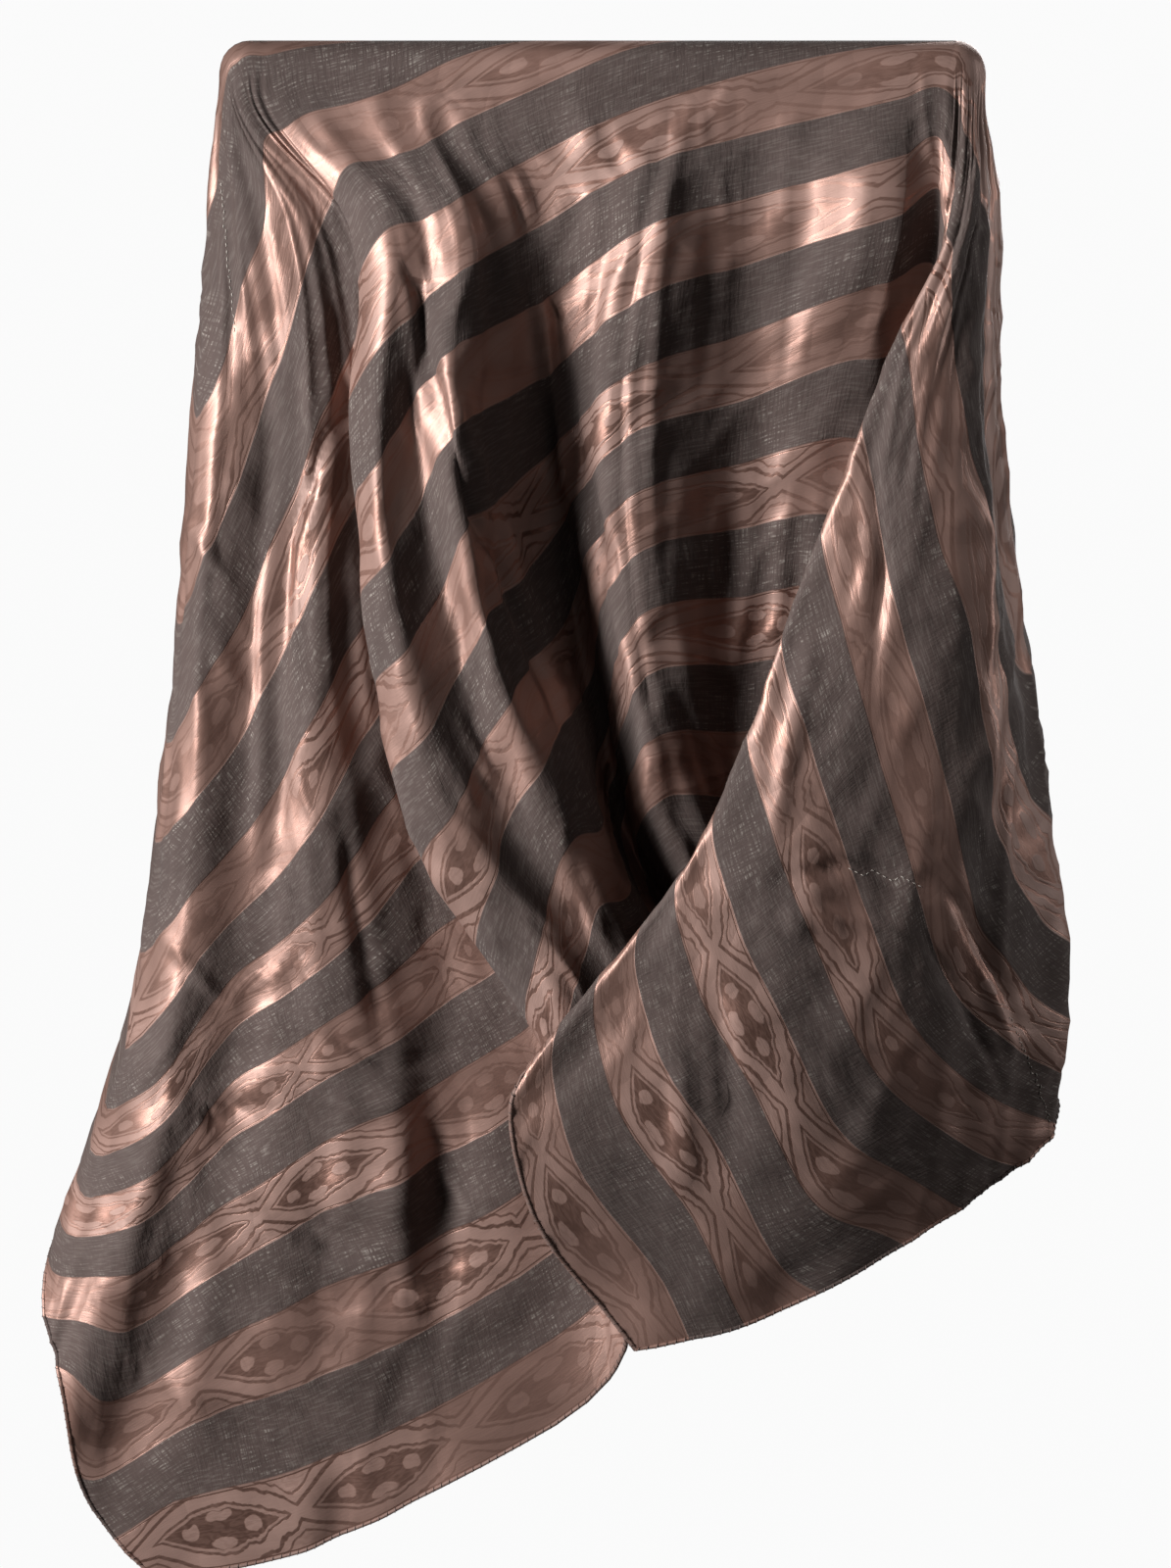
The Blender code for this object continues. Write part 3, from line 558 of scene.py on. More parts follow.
@lru_cache(maxsize=1)
def cloth():
    """The cloth's middle surface: rows of closed rings, and the fold number of each of its columns."""
    lines = [fold_line(fold, seen) for fold in FRONT] + [fold_line(fold, plain) for fold in BACK]
    rings = np.array(lines).transpose(1, 0, 2)
    widths = chord_lengths(measured_row(rings))
    index, part = [], []
    for fold, width in enumerate(widths):
        face_width = FRONT_FACE_WIDTH if fold < len(FRONT) - 1 else BACK_FACE_WIDTH
        count = max(FEWEST_FACES_A_FOLD, round(width / face_width))
        index += [fold] * count
        part += [step / count for step in range(count)]
    index, part = np.array(index), np.array(part)
    grid = []
    for row, ring in enumerate(rings):
        lengths = chord_lengths(ring)
        leaving, steps = slopes(ring, lengths)
        reaching = leaving.copy()
        stations_up = (len(rings) - 1 - row) / ROWS_A_STATION
        sharpness = max(0, 1 - stations_up) ** 2
        for corner in (NAMES.index(name) for name in CORNERS):
            smooth = leaving[corner].copy()
            leaving[corner] += (steps[corner] - smooth) * sharpness
            reaching[corner] += (steps[corner - 1] - smooth) * sharpness
        grid.append(between(ring, leaving, reaching, lengths, index, part))
    grid = np.array(grid)
    columns = index + part
    grid[..., :3] += crease_shift(grid, columns)
    keep_off_board(grid[..., :3])
    return grid, columns


def outward(points):
    """The direction away from the board at every point of the cloth."""
    across = np.roll(points, -1, axis=1) - np.roll(points, 1, axis=1)
    down = np.gradient(points, axis=0)
    normal = np.cross(down, across)
    normal[0] = (0, 0, 1)
    return normal / np.maximum(np.linalg.norm(normal, axis=2, keepdims=True), 1e-12)


def path_distance(places, path):
    """How far places lie from a path, and the part of its length that each is nearest to."""
    path = np.array(path) * MM
    steps = np.diff(path, axis=0)
    lengths = np.linalg.norm(steps, axis=1)
    nearest = np.full(places.shape[:-1], 1e9)
    share = np.zeros(places.shape[:-1])
    for start, step, length, before in zip(path, steps, lengths, np.cumsum(lengths) - lengths):
        offset = places - start
        part = np.clip(offset @ step / length ** 2, 0, 1)
        away = np.linalg.norm(offset - part[..., None] * step, axis=-1)
        closer = away < nearest
        nearest = np.where(closer, away, nearest)
        share = np.where(closer, (before + part * length) / lengths.sum(), share)
    return nearest, share


def uneven(grid, kind):
    """A smooth uneven height over the cloth, laid out on its own length and width."""
    where = np.stack((grid[..., 4], grid[..., 3] * STRIPE_WIDTH), axis=-1) / kind.length
    flat = [noise.noise(Vector((u, v, kind.layer))) for u, v in where.reshape(-1, 2)]
    return np.array(flat).reshape(grid.shape[:2]) * kind.height


def drape(points):
    """The height of the long wrinkles that run down the folds, the same where the ring closes."""
    reach = np.cumsum(chord_lengths(measured_row(points)))
    circle = 2 * np.pi * reach / reach[-1]
    radius = reach[-1] / (2 * np.pi) / DRAPE_WIDTH
    heights = np.empty(points.shape[:2])
    for column, angle in enumerate(circle):
        x, y = radius * math.cos(angle), radius * math.sin(angle)
        for row, z in enumerate(distances(points[:, column]) / DRAPE_LENGTH):
            soft = noise.noise(Vector((x, y, z)))
            finer = Vector((x * BEND_FINENESS[0], y * BEND_FINENESS[1], z * BEND_FINENESS[2] + BEND_LAYER))
            crisp = MIDDLE_NOISE - abs(noise.noise(finer))
            heights[row, column] = soft * DRAPE_HEIGHT + crisp * BEND_HEIGHT
    return heights


def keep_off_board(points):
    """Push any point that would lie in the back board out to its clearance."""
    core = np.clip(points[..., 0], -BOARD_HALF_LENGTH, BOARD_HALF_LENGTH)
    out = np.stack((points[..., 0] - core, points[..., 1]), axis=-1)
    away = np.maximum(np.linalg.norm(out, axis=-1), 1e-9)
    inside = (away < BOARD_CLEARANCE) & (points[..., 2] < -BOARD_TOP) & (points[..., 2] > -BOARD_HEIGHT)
    pushed = out * (BOARD_CLEARANCE / away)[..., None]
    points[inside, 0] = (core + pushed[..., 0])[inside]
    points[inside, 1] = pushed[..., 1][inside]


def crease_shift(grid, columns):
    """How far each point of the cloth moves for its creases and for the slackness of the silk."""
    points = grid[..., :3]
    front = picture_places(points)
    back = np.stack((points[..., 0], -points[..., 2]), axis=-1)
    height = uneven(grid, SLACK) + drape(points)
    crepe = np.clip(4 * (0.5 - np.abs(np.mod(grid[..., 3], 2) - 1.5)) + 0.5, SATIN_CRINKLES, 1)
    height += uneven(grid, CRINKLES) * crepe
    height += MIDDLE_NOISE * CRUMPLES.height - np.abs(uneven(grid, CRUMPLES))
    above_hem = (len(grid) - 1 - np.arange(len(grid)))[:, None]
    height += uneven(grid, HEM_WAVES) * np.clip(1 - above_hem / HEM_WAVE_REACH, 0, 1) ** 2
    for first, last, creases in CREASES:
        first, last = NAMES.index(first), NAMES.index(last)
        wanted = (columns >= first - CREASE_SPILL) & (columns <= last + CREASE_SPILL)
        places = (front if first < len(FRONT) else back)[:, wanted]
        for width, ridge, path in creases:
            away, share = path_distance(places, path)
            taper = np.sin(np.pi * np.clip(share, 0.01, 0.99)) ** CREASE_TAPER
            height[:, wanted] += np.exp(-(away / (width * MM / 2)) ** 2) * taper * ridge * MM
    fade = np.clip((-points[..., 2] - LEVEL_DOWN_TO) / LEVEL_FADE, 0, 1)
    return outward(points) * (height * fade)[..., None]


def on_cloth(first, last, across, down, above):
    """The point just above the front cloth, on the folds from first to last, that the eye sees there."""
    grid, columns = cloth()
    wanted = np.flatnonzero((columns >= NAMES.index(first)) & (columns <= NAMES.index(last)))
    points = grid[..., :3][:, wanted]
    away = np.linalg.norm(picture_places(points) - np.array((across, down)) * MM, axis=2)
    row, column = np.unravel_index(int(np.argmin(away)), away.shape)
    return points[row, column] + outward(grid[..., :3])[row, wanted[column]] * above


# Meshes

def add_piece(name, mesh, material_made):
    """Link a finished mesh as a piece that rides on the scarf's one body."""
    for old in [o for o in bpy.data.objects if o.name == name]:
        bpy.data.objects.remove(old, do_unlink=True)
    piece = bpy.data.objects.new(name, mesh)
    bpy.context.scene.collection.objects.link(piece)
    mesh.materials.append(material_made)
    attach(piece, "root")
    return piece


def lay_out(mesh, places):
    """Give each corner its place on the flat cloth, in metres."""
    corners = np.empty(len(mesh.loops), dtype=np.int32)
    mesh.loops.foreach_get("vertex_index", corners)
    mesh.uv_layers.new(name="flat_cloth").data.foreach_set("uv", places[corners].astype(np.float32).ravel())


def shell_mesh(name, first, last, thickness, stripe_width):
    """A thin closed shell of the cloth from one fold to another, welded at its top line."""
    grid, columns = cloth()
    normals = outward(grid[..., :3])
    start, stop = NAMES.index(first), NAMES.index(last)
    span = [i for i, column in enumerate(columns) if start <= column < (stop if stop > start else 1e9)]
    span.append(int(np.argmin(np.abs(columns - stop))))
    points, outs = grid[:, span, :3], normals[:, span]
    rows, wide = points.shape[:2]
    numbers = np.arange(rows * wide).reshape(rows, wide)
    for column in range(1, wide):
        if np.linalg.norm(points[0, column] - points[0, column - 1]) < TINY:
            numbers[0, column] = numbers[0, column - 1]
    half = thickness / 2
    verts = np.concatenate([(points + outs * half).reshape(-1, 3), (points - outs * half).reshape(-1, 3)])
    inner = rows * wide
    faces = []

    def add(*corners):
        kept = [corner for i, corner in enumerate(corners) if corner != corners[i - 1]]
        if len(kept) > 2:
            faces.append(kept)

    for row in range(rows - 1):
        for column in range(wide - 1):
            a, b = int(numbers[row, column]), int(numbers[row + 1, column])
            c, d = int(numbers[row + 1, column + 1]), int(numbers[row, column + 1])
            add(a, b, c, d)
            add(a + inner, d + inner, c + inner, b + inner)
    hem = numbers[-1]
    for one, two in zip(hem, hem[1:]):
        add(int(one), int(one) + inner, int(two) + inner, int(two))
    top = numbers[0]
    for one, two in zip(top, top[1:]):
        if one != two:
            add(int(two), int(two) + inner, int(one) + inner, int(one))
    for edge, turn in ((numbers[:, 0], 1), (numbers[:, -1], -1)):
        for one, two in zip(edge, edge[1:]):
            add(*(int(one), int(one) + inner, int(two) + inner, int(two))[::turn])
    used = np.unique([corner for face in faces for corner in face])
    order = np.full(len(verts), -1)
    order[used] = np.arange(len(used))
    mesh = bpy.data.meshes.new(name)
    mesh.from_pydata(verts[used].tolist(), [], [[int(order[corner]) for corner in face] for face in faces])
    flat = np.stack((grid[:, span, 4], grid[:, span, 3] * stripe_width), axis=-1).reshape(-1, 2)
    lay_out(mesh, np.concatenate((flat, flat))[used])
    mesh.shade_smooth()
    side = np.concatenate([outs.reshape(-1, 3), -outs.reshape(-1, 3)])[used]
    mesh.normals_split_custom_set_from_vertices(side.tolist())
    return mesh, cloth_area(points)


def cloth_area(points):
    """The area of the silk in a stretch of cloth."""
    a, b, c, d = points[:-1, :-1], points[1:, :-1], points[1:, 1:], points[:-1, 1:]
    return float(np.linalg.norm(np.cross(c - a, d - b), axis=2).sum() / 2)


def tube_mesh(name, centres, normals, radius, sides):
    """A closed tube round a closed line of points."""
    along = np.roll(centres, -1, axis=0) - np.roll(centres, 1, axis=0)
    along /= np.linalg.norm(along, axis=1, keepdims=True)
    sideways = np.cross(along, normals)
    sideways /= np.linalg.norm(sideways, axis=1, keepdims=True)
    upright = np.cross(sideways, along)
    angles = 2 * np.pi * np.arange(sides) / sides
    rings = (centres[:, None] + radius * (np.cos(angles)[None, :, None] * sideways[:, None]
                                          + np.sin(angles)[None, :, None] * upright[:, None]))
    count = len(centres)
    faces = [(i * sides + k, i * sides + (k + 1) % sides,
              (i + 1) % count * sides + (k + 1) % sides, (i + 1) % count * sides + k)
             for i in range(count) for k in range(sides)]
    mesh = bpy.data.meshes.new(name)
    mesh.from_pydata(rings.reshape(-1, 3).tolist(), [], faces)
    mesh.shade_smooth()
    return mesh


def strand(points, radius, sides):
    """The corners and faces of a short closed thread through points."""
    points = np.array(points)
    along = np.gradient(points, axis=0)
    along /= np.linalg.norm(along, axis=1, keepdims=True)
    sideways = np.cross(along, ASIDE)
    sideways /= np.linalg.norm(sideways, axis=1, keepdims=True)
    upright = np.cross(along, sideways)
    angles = 2 * np.pi * np.arange(sides) / sides
    taper = radius * np.sin(np.linspace(THREAD_END, np.pi - THREAD_END, len(points)))
    rings = points[:, None] + taper[:, None, None] * (
        np.cos(angles)[None, :, None] * sideways[:, None] + np.sin(angles)[None, :, None] * upright[:, None])
    faces = [[i * sides + k, i * sides + (k + 1) % sides,
              (i + 1) * sides + (k + 1) % sides, (i + 1) * sides + k]
             for i in range(len(points) - 1) for k in range(sides)]
    faces.append(list(range(sides))[::-1])
    faces.append([(len(points) - 1) * sides + k for k in range(sides)])
    return rings.reshape(-1, 3), faces


def strands_mesh(name, lines, radius, sides=5):
    """One mesh of many short threads."""
    corners, faces, count = [], [], 0
    for line in lines:
        ring, sides_of_it = strand(line, radius, sides)
        faces += [[corner + count for corner in face] for face in sides_of_it]
        corners.append(ring)
        count += len(ring)
    mesh = bpy.data.meshes.new(name)
    mesh.from_pydata(np.concatenate(corners).tolist(), [], faces)
    mesh.shade_smooth()
    return mesh


def evenly(points, spacing, closed=False):
    """Points spaced evenly along a line of points, whose first three values are their place."""
    points = np.array(points)
    if closed:
        points = np.concatenate((points, points[:1]))
    reach = distances(points[:, :3])
    count = max(2, round(reach[-1] / spacing))
    wanted = np.linspace(0, reach[-1], count + 1)[:count if closed else count + 1]
    return np.stack([np.interp(wanted, reach, points[:, axis]) for axis in range(points.shape[1])], axis=-1)


# Finishes

class Finish:
    """Short ways of laying out one material's nodes."""

    def __init__(self, name):
        old = bpy.data.materials.get(name)
        if old:
            bpy.data.materials.remove(old)
        self.material = bpy.data.materials.new(name)
        self.material.use_nodes = True
        self.tree = self.material.node_tree
        self.shader = self.tree.nodes["Principled BSDF"]

    def node(self, kind, inputs=(), **settings):
        made = self.tree.nodes.new(kind)
        for key, value in settings.items():
            setattr(made, key, value)
        for key, value in dict(inputs).items():
            self.plug(made.inputs[key], value)
        return made

    def plug(self, socket, value):
        if isinstance(value, bpy.types.NodeSocket):
            self.tree.links.new(value, socket)
        elif hasattr(value, "__len__") and len(value) == 3 and socket.type == 'RGBA':
            socket.default_value = (*value, 1)
        else:
            socket.default_value = value

    def sums(self, operation, *values):
        made = self.tree.nodes.new("ShaderNodeMath")
        made.operation = operation
        for socket, value in zip(made.inputs, values):
            self.plug(socket, value)
        return made.outputs[0]

    def times(self, one, two):
        return self.sums('MULTIPLY', one, two)

    def plus(self, one, two):
        return self.sums('ADD', one, two)

    def minus(self, one, two):
        return self.sums('SUBTRACT', one, two)

    def size(self, value):
        return self.sums('ABSOLUTE', value)

    def cosine(self, value):
        return self.sums('COSINE', value)

    def smooth(self, value, low, high, to_low=0.0, to_high=1.0):
        made = self.node("ShaderNodeMapRange", {"Value": value, "From Min": low, "From Max": high,
                                                "To Min": to_low, "To Max": to_high},
                         interpolation_type='SMOOTHSTEP')
        return made.outputs[0]

    def blend(self, part, low, high):
        made = self.node("ShaderNodeMix", data_type='RGBA')
        for socket, value in zip([s for s in made.inputs if s.enabled], (part, low, high)):
            self.plug(socket, value)
        return next(s for s in made.outputs if s.enabled)

    def mix(self, part, low, high):
        made = self.node("ShaderNodeMix", data_type='FLOAT')
        for socket, value in zip([s for s in made.inputs if s.enabled], (part, low, high)):
            self.plug(socket, value)
        return next(s for s in made.outputs if s.enabled)

    def vector(self, x, y, z=0.0):
        return self.node("ShaderNodeCombineXYZ", {"X": x, "Y": y, "Z": z}).outputs[0]

    def ramp(self, value, stops):
        made = self.node("ShaderNodeValToRGB", {"Fac": value})
        line = made.color_ramp
        while len(line.elements) < len(stops):
            line.elements.new(0.5)
        for element, (place, tone) in zip(line.elements, stops):
            element.position = (place + 1) / 2
            element.color = (tone, tone, tone, 1)
        return made.outputs[0]

    def noise(self, where, detail=2.0, roughness=0.5):
        made = self.node("ShaderNodeTexNoise", {"Vector": where, "Scale": 1.0, "Detail": detail,
                                                "Roughness": roughness})
        return made.outputs[0]

    def bump(self, height, distance, strength=1.0, after=None):
        inputs = {"Height": height, "Distance": distance, "Strength": strength}
        if after is not None:
            inputs["Normal"] = after
        return self.node("ShaderNodeBump", inputs).outputs[0]

    def set(self, **values):
        for key, value in values.items():
            self.plug(self.shader.inputs[key.replace("_", " ")], value)


# Tones of the woven leaf figure across its bands, from inside an oval (-1) to the stripe's border (1)
LEAF_BANDS = ((-1.0, 0.0), (-0.37, 0.0), (-0.35, 0.8), (-0.29, 0.8), (-0.27, 0.05), (-0.21, 0.05),
              (-0.19, 1.0), (0.13, 1.0), (0.16, 0.0), (0.25, 0.0), (0.28, 0.9), (0.42, 0.9),
              (0.45, 0.05), (0.50, 0.05), (0.53, 0.8), (1.0, 0.8))


LEAF_FULLNESS = 0.88            # how far an oval reaches from a stripe's middle to its border
LEAF_SHIFT = 0.37               # how far the figure of each satin stripe is moved along from the last
SCALLOPS = 7


def silk_finish():
    """Satin stripes with woven leaf figures, between dull crepe stripes of loose thread."""
    sizes = bpy.context.scene.scarf
    f = Finish("striped_silk")
    flat = f.node("ShaderNodeUVMap", uv_map="flat_cloth").outputs[0]
    split = f.node("ShaderNodeSeparateXYZ", {"Vector": flat})
    u, v = split.outputs[0], split.outputs[1]

    def spun(along, across, detail=2.0):
        """Noise drawn out along or across the stripes, by its fineness each way."""
        return f.noise(f.vector(f.times(u, along), f.times(v, across)), detail, 0.55)

    stripes = f.sums('DIVIDE', v, sizes.stripe_width)
    pair = f.sums('FLOORED_MODULO', f.plus(stripes, 0.5), 2.0)
    centred = f.size(f.minus(pair, 1.0))
    satin = f.smooth(centred, 0.488, 0.512, 1.0, 0.0)

    # Where a point is in its leaf: x from an oval's middle to the crossing, a from centre to border
    wobble = f.minus(spun(60, 60), 0.5)
    band = f.sums('FLOOR', f.sums('DIVIDE', f.plus(stripes, 0.5), 2.0))
    place = f.plus(f.sums('DIVIDE', u, sizes.figure_repeat), f.times(band, LEAF_SHIFT))
    place = f.plus(place, f.times(wobble, 0.10))
    x = f.size(f.minus(f.times(f.sums('FRACT', place), 2.0), 1.0))
    a = f.plus(f.times(centred, 2.0), f.times(wobble, 0.30))
    curve = f.times(f.cosine(f.times(x, math.pi / 2)), LEAF_FULLNESS)
    off = f.minus(a, curve)
    scallop = f.cosine(f.times(x, SCALLOPS * math.pi))
    scallop = f.times(scallop, f.smooth(off, 0.34, 0.46, 0.0, 0.035))
    bands = f.ramp(f.sums('MULTIPLY_ADD', f.plus(off, scallop), 0.5, 0.5), LEAF_BANDS)

    def petal(middle_x, middle_a, half_x, half_a):
        """A soft-edged oval within the leaf."""
        one = f.sums('DIVIDE', f.minus(x, middle_x), half_x)
        two = f.sums('DIVIDE', f.minus(a, middle_a), half_a)
        inside = f.plus(f.times(one, one), f.times(two, two))
        return f.smooth(inside, 0.8, 1.2, 0.85, 0.0)

    petals = f.sums('MAXIMUM', petal(0.40, 0.0, 0.11, 0.20), petal(0.0, 0.36, 0.16, 0.15))
    flow = f.plus(f.sums('SINE', f.times(spun(24, 110, 3.0), 60)), 1.0)
    figure = f.plus(f.sums('MAXIMUM', bands, petals), f.times(flow, 0.11))
    border = f.size(f.minus(f.times(centred, 2.0), 0.925))
    border = f.smooth(border, 0.010, 0.028)
    figure = f.node("ShaderNodeClamp", {"Value": f.times(figure, border)}).outputs[0]
    figure = f.mix(f.smooth(spun(5, 8), 0.36, 0.60, 0.0, 0.75), figure, 0.40)

    # The crepe: loose threads both ways, with pale thick places
    along, over = spun(80, 900), spun(760, 70)
    open_weave = f.smooth(spun(9, 16), 0.42, 0.60)
    threads = f.mix(open_weave, 0.35, f.smooth(over, 0.42, 0.60))
    threads = f.times(f.smooth(along, 0.46, 0.64), threads)
    slubs = f.times(f.smooth(along, 0.58, 0.70), f.smooth(over, 0.52, 0.66))
    slubs = f.times(slubs, open_weave)
    crepe = f.plus(f.times(threads, 0.5), slubs)
    crepe = f.node("ShaderNodeClamp", {"Value": crepe}).outputs[0]
    puckers = spun(520, 110)

    tone = spun(7, 11)
    satin_base = f.blend(figure, sizes.satin_colour, sizes.figure_colour)
    crepe_base = f.blend(crepe, sizes.crepe_colour, sizes.thread_colour)
    colour = f.blend(satin, crepe_base, satin_base)
    shaded = f.node("ShaderNodeVectorMath", {0: colour}, operation='SCALE')
    f.plug(shaded.inputs["Scale"], f.smooth(tone, 0.3, 0.7, 0.88, 1.10))
    roughness = f.mix(satin, 0.85, f.mix(figure, 0.40, 0.52))
    satin_height = f.plus(f.times(figure, 0.4), f.times(spun(90, 900), 0.35))
    crepe_height = f.times(f.plus(along, over), 0.5)
    crepe_height = f.plus(crepe_height, f.times(puckers, 1.3))
    # The finest crumples, sharp along their tops, over both kinds of stripe
    short = f.size(f.minus(spun(30, 22, 1.0), 0.5))
    long = f.size(f.minus(spun(16, 58, 1.0), 0.5))
    crumpled = f.bump(f.plus(short, f.times(long, 0.6)), 0.0022, 0.6)
    f.set(Base_Color=shaded.outputs[0], Roughness=roughness,
          Normal=f.bump(f.mix(satin, crepe_height, satin_height), 0.0004, 0.6, crumpled),
          Metallic=f.times(satin, f.mix(figure, 0.80, 0.25)), Anisotropic=0.4, IOR=1.4)
    f.set(Tangent=f.node("ShaderNodeTangent", direction_type='UV_MAP', uv_map="flat_cloth").outputs[0])
    return f.material


def shared_silk():
    """The one silk that the cloth and its hem share."""
    return bpy.data.materials.get("striped_silk") or silk_finish()


def thread_finish(name, colour):
    """Spun sewing thread."""
    f = Finish(name)
    place = f.node("ShaderNodeTexCoord").outputs["Object"]
    fine = f.node("ShaderNodeVectorMath", {0: place, 1: (1800, 1800, 1800)}, operation='MULTIPLY').outputs[0]
    spin = f.noise(fine, 1.0)
    dark = [value * 0.6 for value in colour]
    f.set(Base_Color=f.blend(f.smooth(spin, 0.35, 0.65), dark, colour),
          Roughness=0.55, Normal=f.bump(spin, 0.0001, 0.5))
    return f.material


def board_finish():
    """Plain oiled wood with fine grain along the board."""
    colours = bpy.context.scene.back_board
    f = Finish("plain_wood")
    place = f.node("ShaderNodeTexCoord").outputs["Object"]
    split = f.node("ShaderNodeSeparateXYZ", {"Vector": place})
    x, y, z = split.outputs
    where = f.vector(f.times(x, 9), f.times(y, 60), f.times(z, 90))
    grain = f.noise(where, 4.0, 0.6)
    rings = f.plus(f.times(f.sums('SINE', f.times(grain, 40)), 0.5), 0.5)
    pores = f.smooth(f.noise(f.vector(f.times(x, 60), f.times(y, 600),
                                      f.times(z, 900)), 2.0), 0.55, 0.7)
    tone = f.plus(f.times(rings, 0.55), f.times(pores, 0.35))
    f.set(Base_Color=f.blend(tone, colours.wood_colour, colours.grain_colour),
          Roughness=f.mix(tone, 0.48, 0.62), Normal=f.bump(tone, 0.0003, 0.5))
    return f.material


def studio_finish():
    """The pale floor and backdrop."""
    f = Finish("pale_backdrop")
    place = f.node("ShaderNodeTexCoord").outputs["Object"]
    cloud = f.noise(f.node("ShaderNodeVectorMath", {0: place, 1: (3, 3, 3)}, operation='MULTIPLY').outputs[0])
    colour = bpy.context.scene.studio.floor_colour
    f.set(Base_Color=f.blend(cloud, colour, [value * 0.985 for value in colour]), Roughness=0.7,
          Emission_Color=(1, 1, 1), Emission_Strength=0.96)
    return f.material


# Operators

class SCARF_OT_front(bpy.types.Operator):
    """Build the scarf's front folds, from the left outline to the right one"""
    bl_idname = "scarf.front"
    bl_label = "Front folds"

    def execute(self, context):
        build_cloth("scarf_front", "left outline", "right outline",
                    ("top_wrap", "left_fall", "roll_fold", "centre_panel", "right_fall"))
        return {'FINISHED'}


class SCARF_OT_back(bpy.types.Operator):
    """Build the scarf's back folds, which the photograph doesn't show"""
    bl_idname = "scarf.back"
    bl_label = "Back folds"

    def execute(self, context):
        build_cloth("scarf_back", "right outline", "left outline",
                    ("back_right", "back_centre", "back_left"))
        return {'FINISHED'}


def build_cloth(name, first, last, nodes):
    """Build one side of the scarf, and hide the solids that it stands for."""
    sizes = bpy.context.scene.scarf
    mesh, area = shell_mesh(name, first, last, sizes.cloth_thickness, sizes.stripe_width)
    piece = add_piece(name, mesh, shared_silk())
    piece["cloth_area"] = area
    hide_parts(*nodes)


class SCARF_OT_hem(bpy.types.Operator):
    """Build the rolled hem all the way round the scarf's edge"""
    bl_idname = "scarf.hem"
    bl_label = "Rolled hem"

    def execute(self, context):
        sizes = context.scene.scarf
        grid, _ = cloth()
        edge, normals = grid[-1, :, :3], outward(grid[..., :3])[-1]
        mesh = tube_mesh("rolled_hem", edge, normals, sizes.hem_radius, HEM_SIDES)
        flat = np.stack((grid[-1, :, 4], grid[-1, :, 3] * sizes.stripe_width), axis=-1)
        lay_out(mesh, np.repeat(flat, HEM_SIDES, axis=0))
        hem = add_piece("rolled_hem", mesh, shared_silk())
        mesh = strands_mesh("hem_stitches", hem_stitches(edge, normals, sizes), STITCH_RADIUS)
        thread = thread_finish("hem_thread", sizes.stitch_colour)
        stitches = add_piece("hem_stitches", mesh, thread)
        # Pale threads along three sharp creases: parted crepe yarns, painted pale as a painted glint of light
        # showing through
        mesh = strands_mesh("pulled_threads", pulled_threads(), STITCH_RADIUS)
        thread = thread_finish("pulled_glint_finish", sizes.pulled_glint_colour)
        pulled = add_piece("pulled_threads", mesh, thread)
        return {'FINISHED'}


def hem_stitches(edge, normals, sizes):
    """Small slanting stitches over the rolled hem, one after another round the whole edge."""
    along_hem = evenly(np.concatenate((edge, normals), axis=1), STITCH_SPACING, closed=True)
    centres, outs = along_hem[:, :3], along_hem[:, 3:]
    ways = np.roll(centres, -1, axis=0) - np.roll(centres, 1, axis=0)
    lines = []
    for centre, out, way in zip(centres, outs, ways):
        way = way / np.linalg.norm(way)
        side = np.cross(way, out)
        side /= np.linalg.norm(side)
        out = np.cross(side, way)
        reach = sizes.hem_radius + STITCH_RADIUS * 0.6
        lines.append([centre + reach * (math.sin(angle) * out + math.cos(angle) * side)
                      + way * STITCH_SLANT * (angle / math.pi - 0.5)
                      for angle in np.linspace(0.1, math.pi - 0.1, 6)])
    return lines


def pulled_threads():
    """The dashes of pale thread in three short lines on the front, along sharp creases where the crepe's
    yarns part; their pale colour is a painted glint of light showing through.
    """
    lines = []
    for first, last, path in PULLED_GLINT_LINES:
        places = evenly(np.array(path), 1.0)
        points = np.array([on_cloth(first, last, *place, PULLED_GLINT_LIFT) for place in places])
        points = evenly(points, PULLED_GLINT_STEP)
        for start in range(0, len(points) - DASH_POINTS, DASH_REPEAT):
            lines.append(points[start:start + DASH_POINTS])
    return lines


class SCARF_OT_board(bpy.types.Operator):
    """Give the back board its wood"""
    bl_idname = "scarf.board"
    bl_label = "Back board"

    def execute(self, context):
        node = frame["nodes"]["back_board"]
        wood = board_finish()
        if not node.material_slots:
            node.data.materials.append(wood)
        for place in node.material_slots:
            place.material = wood
        return {'FINISHED'}


class SCARF_OT_studio(bpy.types.Operator):
    """Build the floor, the backdrop, the lights and the camera"""
    bl_idname = "scarf.studio"
    bl_label = "Studio"

    def execute(self, context):
        scene = context.scene
        studio = scene.studio
        build_backdrop(-studio.floor_drop)
        middle = (0, 0, -0.40)
        add_light("key_light", (-2.1, -1.35, 0.25), middle, (0.65, 2.0), studio.key_power)
        add_light("fill_light", (1.9, -1.5, 0.1), middle, (1.4, 1.4), studio.fill_power)
        add_light("top_light", (0.0, -0.3, 1.7), middle, (1.4, 1.0), studio.fill_power)
        add_light("side_light", (2.0, 0.3, 0.0), middle, (0.5, 1.6), studio.side_power)
        add_light("back_light", (0.9, 2.3, 0.5), middle, (0.9, 1.8), studio.back_power)
        world = bpy.data.worlds.new("white_room")
        world.use_nodes = True
        shade = world.node_tree.nodes["Background"]
        shade.inputs["Color"].default_value = (1, 1, 1, 1)
        shade.inputs["Strength"].default_value = studio.surround
        scene.world = world
        scene.view_settings.view_transform = 'Standard'
        add_camera()
        return {'FINISHED'}


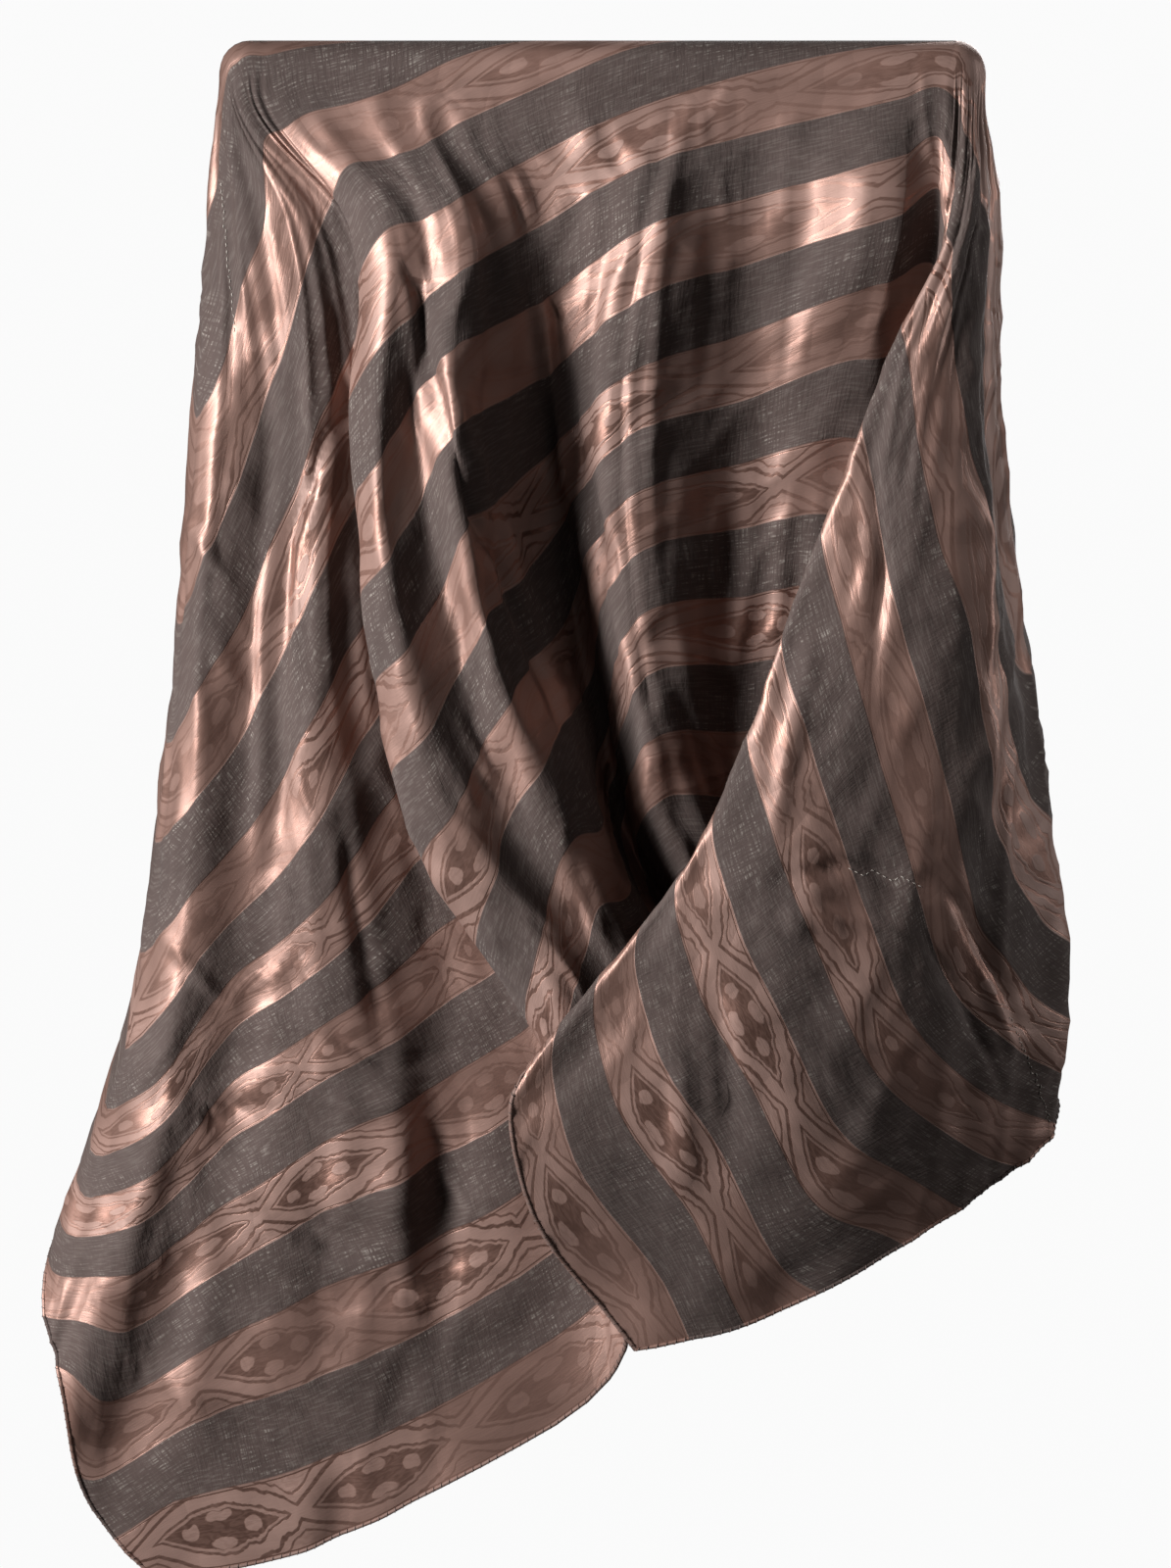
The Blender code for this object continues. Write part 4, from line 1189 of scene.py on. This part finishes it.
def build_backdrop(height):
    """A round floor that turns up into a wall all the way round the scarf."""
    old = bpy.data.objects.get("floor_and_backdrop")
    if old:
        bpy.data.objects.remove(old, do_unlink=True)
    bend, wall, top, turns = 3.0, 22.0, 9.0, 64
    profile = [(wall - bend + bend * math.sin(angle), height + bend - bend * math.cos(angle))
               for angle in np.linspace(0, math.pi / 2, 17)]
    profile.append((wall, top))
    stage = bmesh.new()
    columns = [[stage.verts.new((reach * math.cos(turn), reach * math.sin(turn), z)) for reach, z in profile]
               for turn in np.linspace(0, 2 * math.pi, turns, endpoint=False)]
    stage.faces.new([column[0] for column in columns])
    for index, column in enumerate(columns):
        after = columns[(index + 1) % turns]
        for step in range(len(profile) - 1):
            stage.faces.new((column[step], after[step], after[step + 1], column[step + 1]))
    mesh = bpy.data.meshes.new("floor_and_backdrop")
    stage.to_mesh(mesh)
    stage.free()
    mesh.shade_smooth()
    mesh.materials.append(studio_finish())
    floor = bpy.data.objects.new("floor_and_backdrop", mesh)
    floor.visible_diffuse = False
    floor.visible_glossy = False
    bpy.context.scene.collection.objects.link(floor)


def add_light(name, place, target, size, power):
    """A soft rectangular light that looks at a point."""
    lamp = bpy.data.lights.new(name, 'AREA')
    lamp.shape = 'RECTANGLE'
    lamp.size, lamp.size_y = size
    lamp.energy = power
    light = bpy.data.objects.new(name, lamp)
    light.location = place
    light.rotation_euler = (Vector(target) - Vector(place)).to_track_quat('-Z', 'Y').to_euler()
    bpy.context.scene.collection.objects.link(light)


def add_camera():
    """The camera, at the eye that the front folds were laid out from."""
    data = bpy.data.cameras.new("camera")
    data.sensor_fit = 'VERTICAL'
    data.sensor_height = 36
    data.lens = data.sensor_height * EYE_DISTANCE / PICTURE_HEIGHT
    camera = bpy.data.objects.new("camera", data)
    camera.location = EYE
    camera.rotation_euler = (math.pi / 2 - EYE_PITCH, 0, 0)
    bpy.context.scene.collection.objects.link(camera)
    bpy.context.scene.camera = camera


class SCARF_PT_panel(bpy.types.Panel):
    """The scarf's pieces and its settings"""
    bl_idname = "SCARF_PT_panel"
    bl_label = "Silk scarf"
    bl_space_type = 'VIEW_3D'
    bl_region_type = 'UI'
    bl_category = "Silk scarf"

    def draw(self, context):
        for operator in OPERATORS:
            self.layout.operator(operator.bl_idname)
        for name in SETTINGS:
            group = getattr(context.scene, name)
            for key in group.__annotations__:
                self.layout.prop(group, key)


SETTINGS = {"scarf": ScarfSettings, "back_board": BoardSettings, "studio": StudioSettings}
OPERATORS = (SCARF_OT_front, SCARF_OT_back, SCARF_OT_hem, SCARF_OT_board, SCARF_OT_studio)


def register():
    for part in (*SETTINGS.values(), *OPERATORS, SCARF_PT_panel):
        bpy.utils.register_class(part)
    for name, group in SETTINGS.items():
        setattr(bpy.types.Scene, name, bpy.props.PointerProperty(type=group))


def unregister():
    for name in SETTINGS:
        delattr(bpy.types.Scene, name)
    for part in (SCARF_PT_panel, *reversed(OPERATORS), *reversed(list(SETTINGS.values()))):
        bpy.utils.unregister_class(part)


def main():
    register()
    bpy.ops.scarf.front()
    bpy.ops.scarf.back()
    bpy.ops.scarf.hem()
    bpy.ops.scarf.board()
    bpy.ops.scarf.studio()
    bpy.context.view_layer.update()


if __name__ == "__main__":
    main()
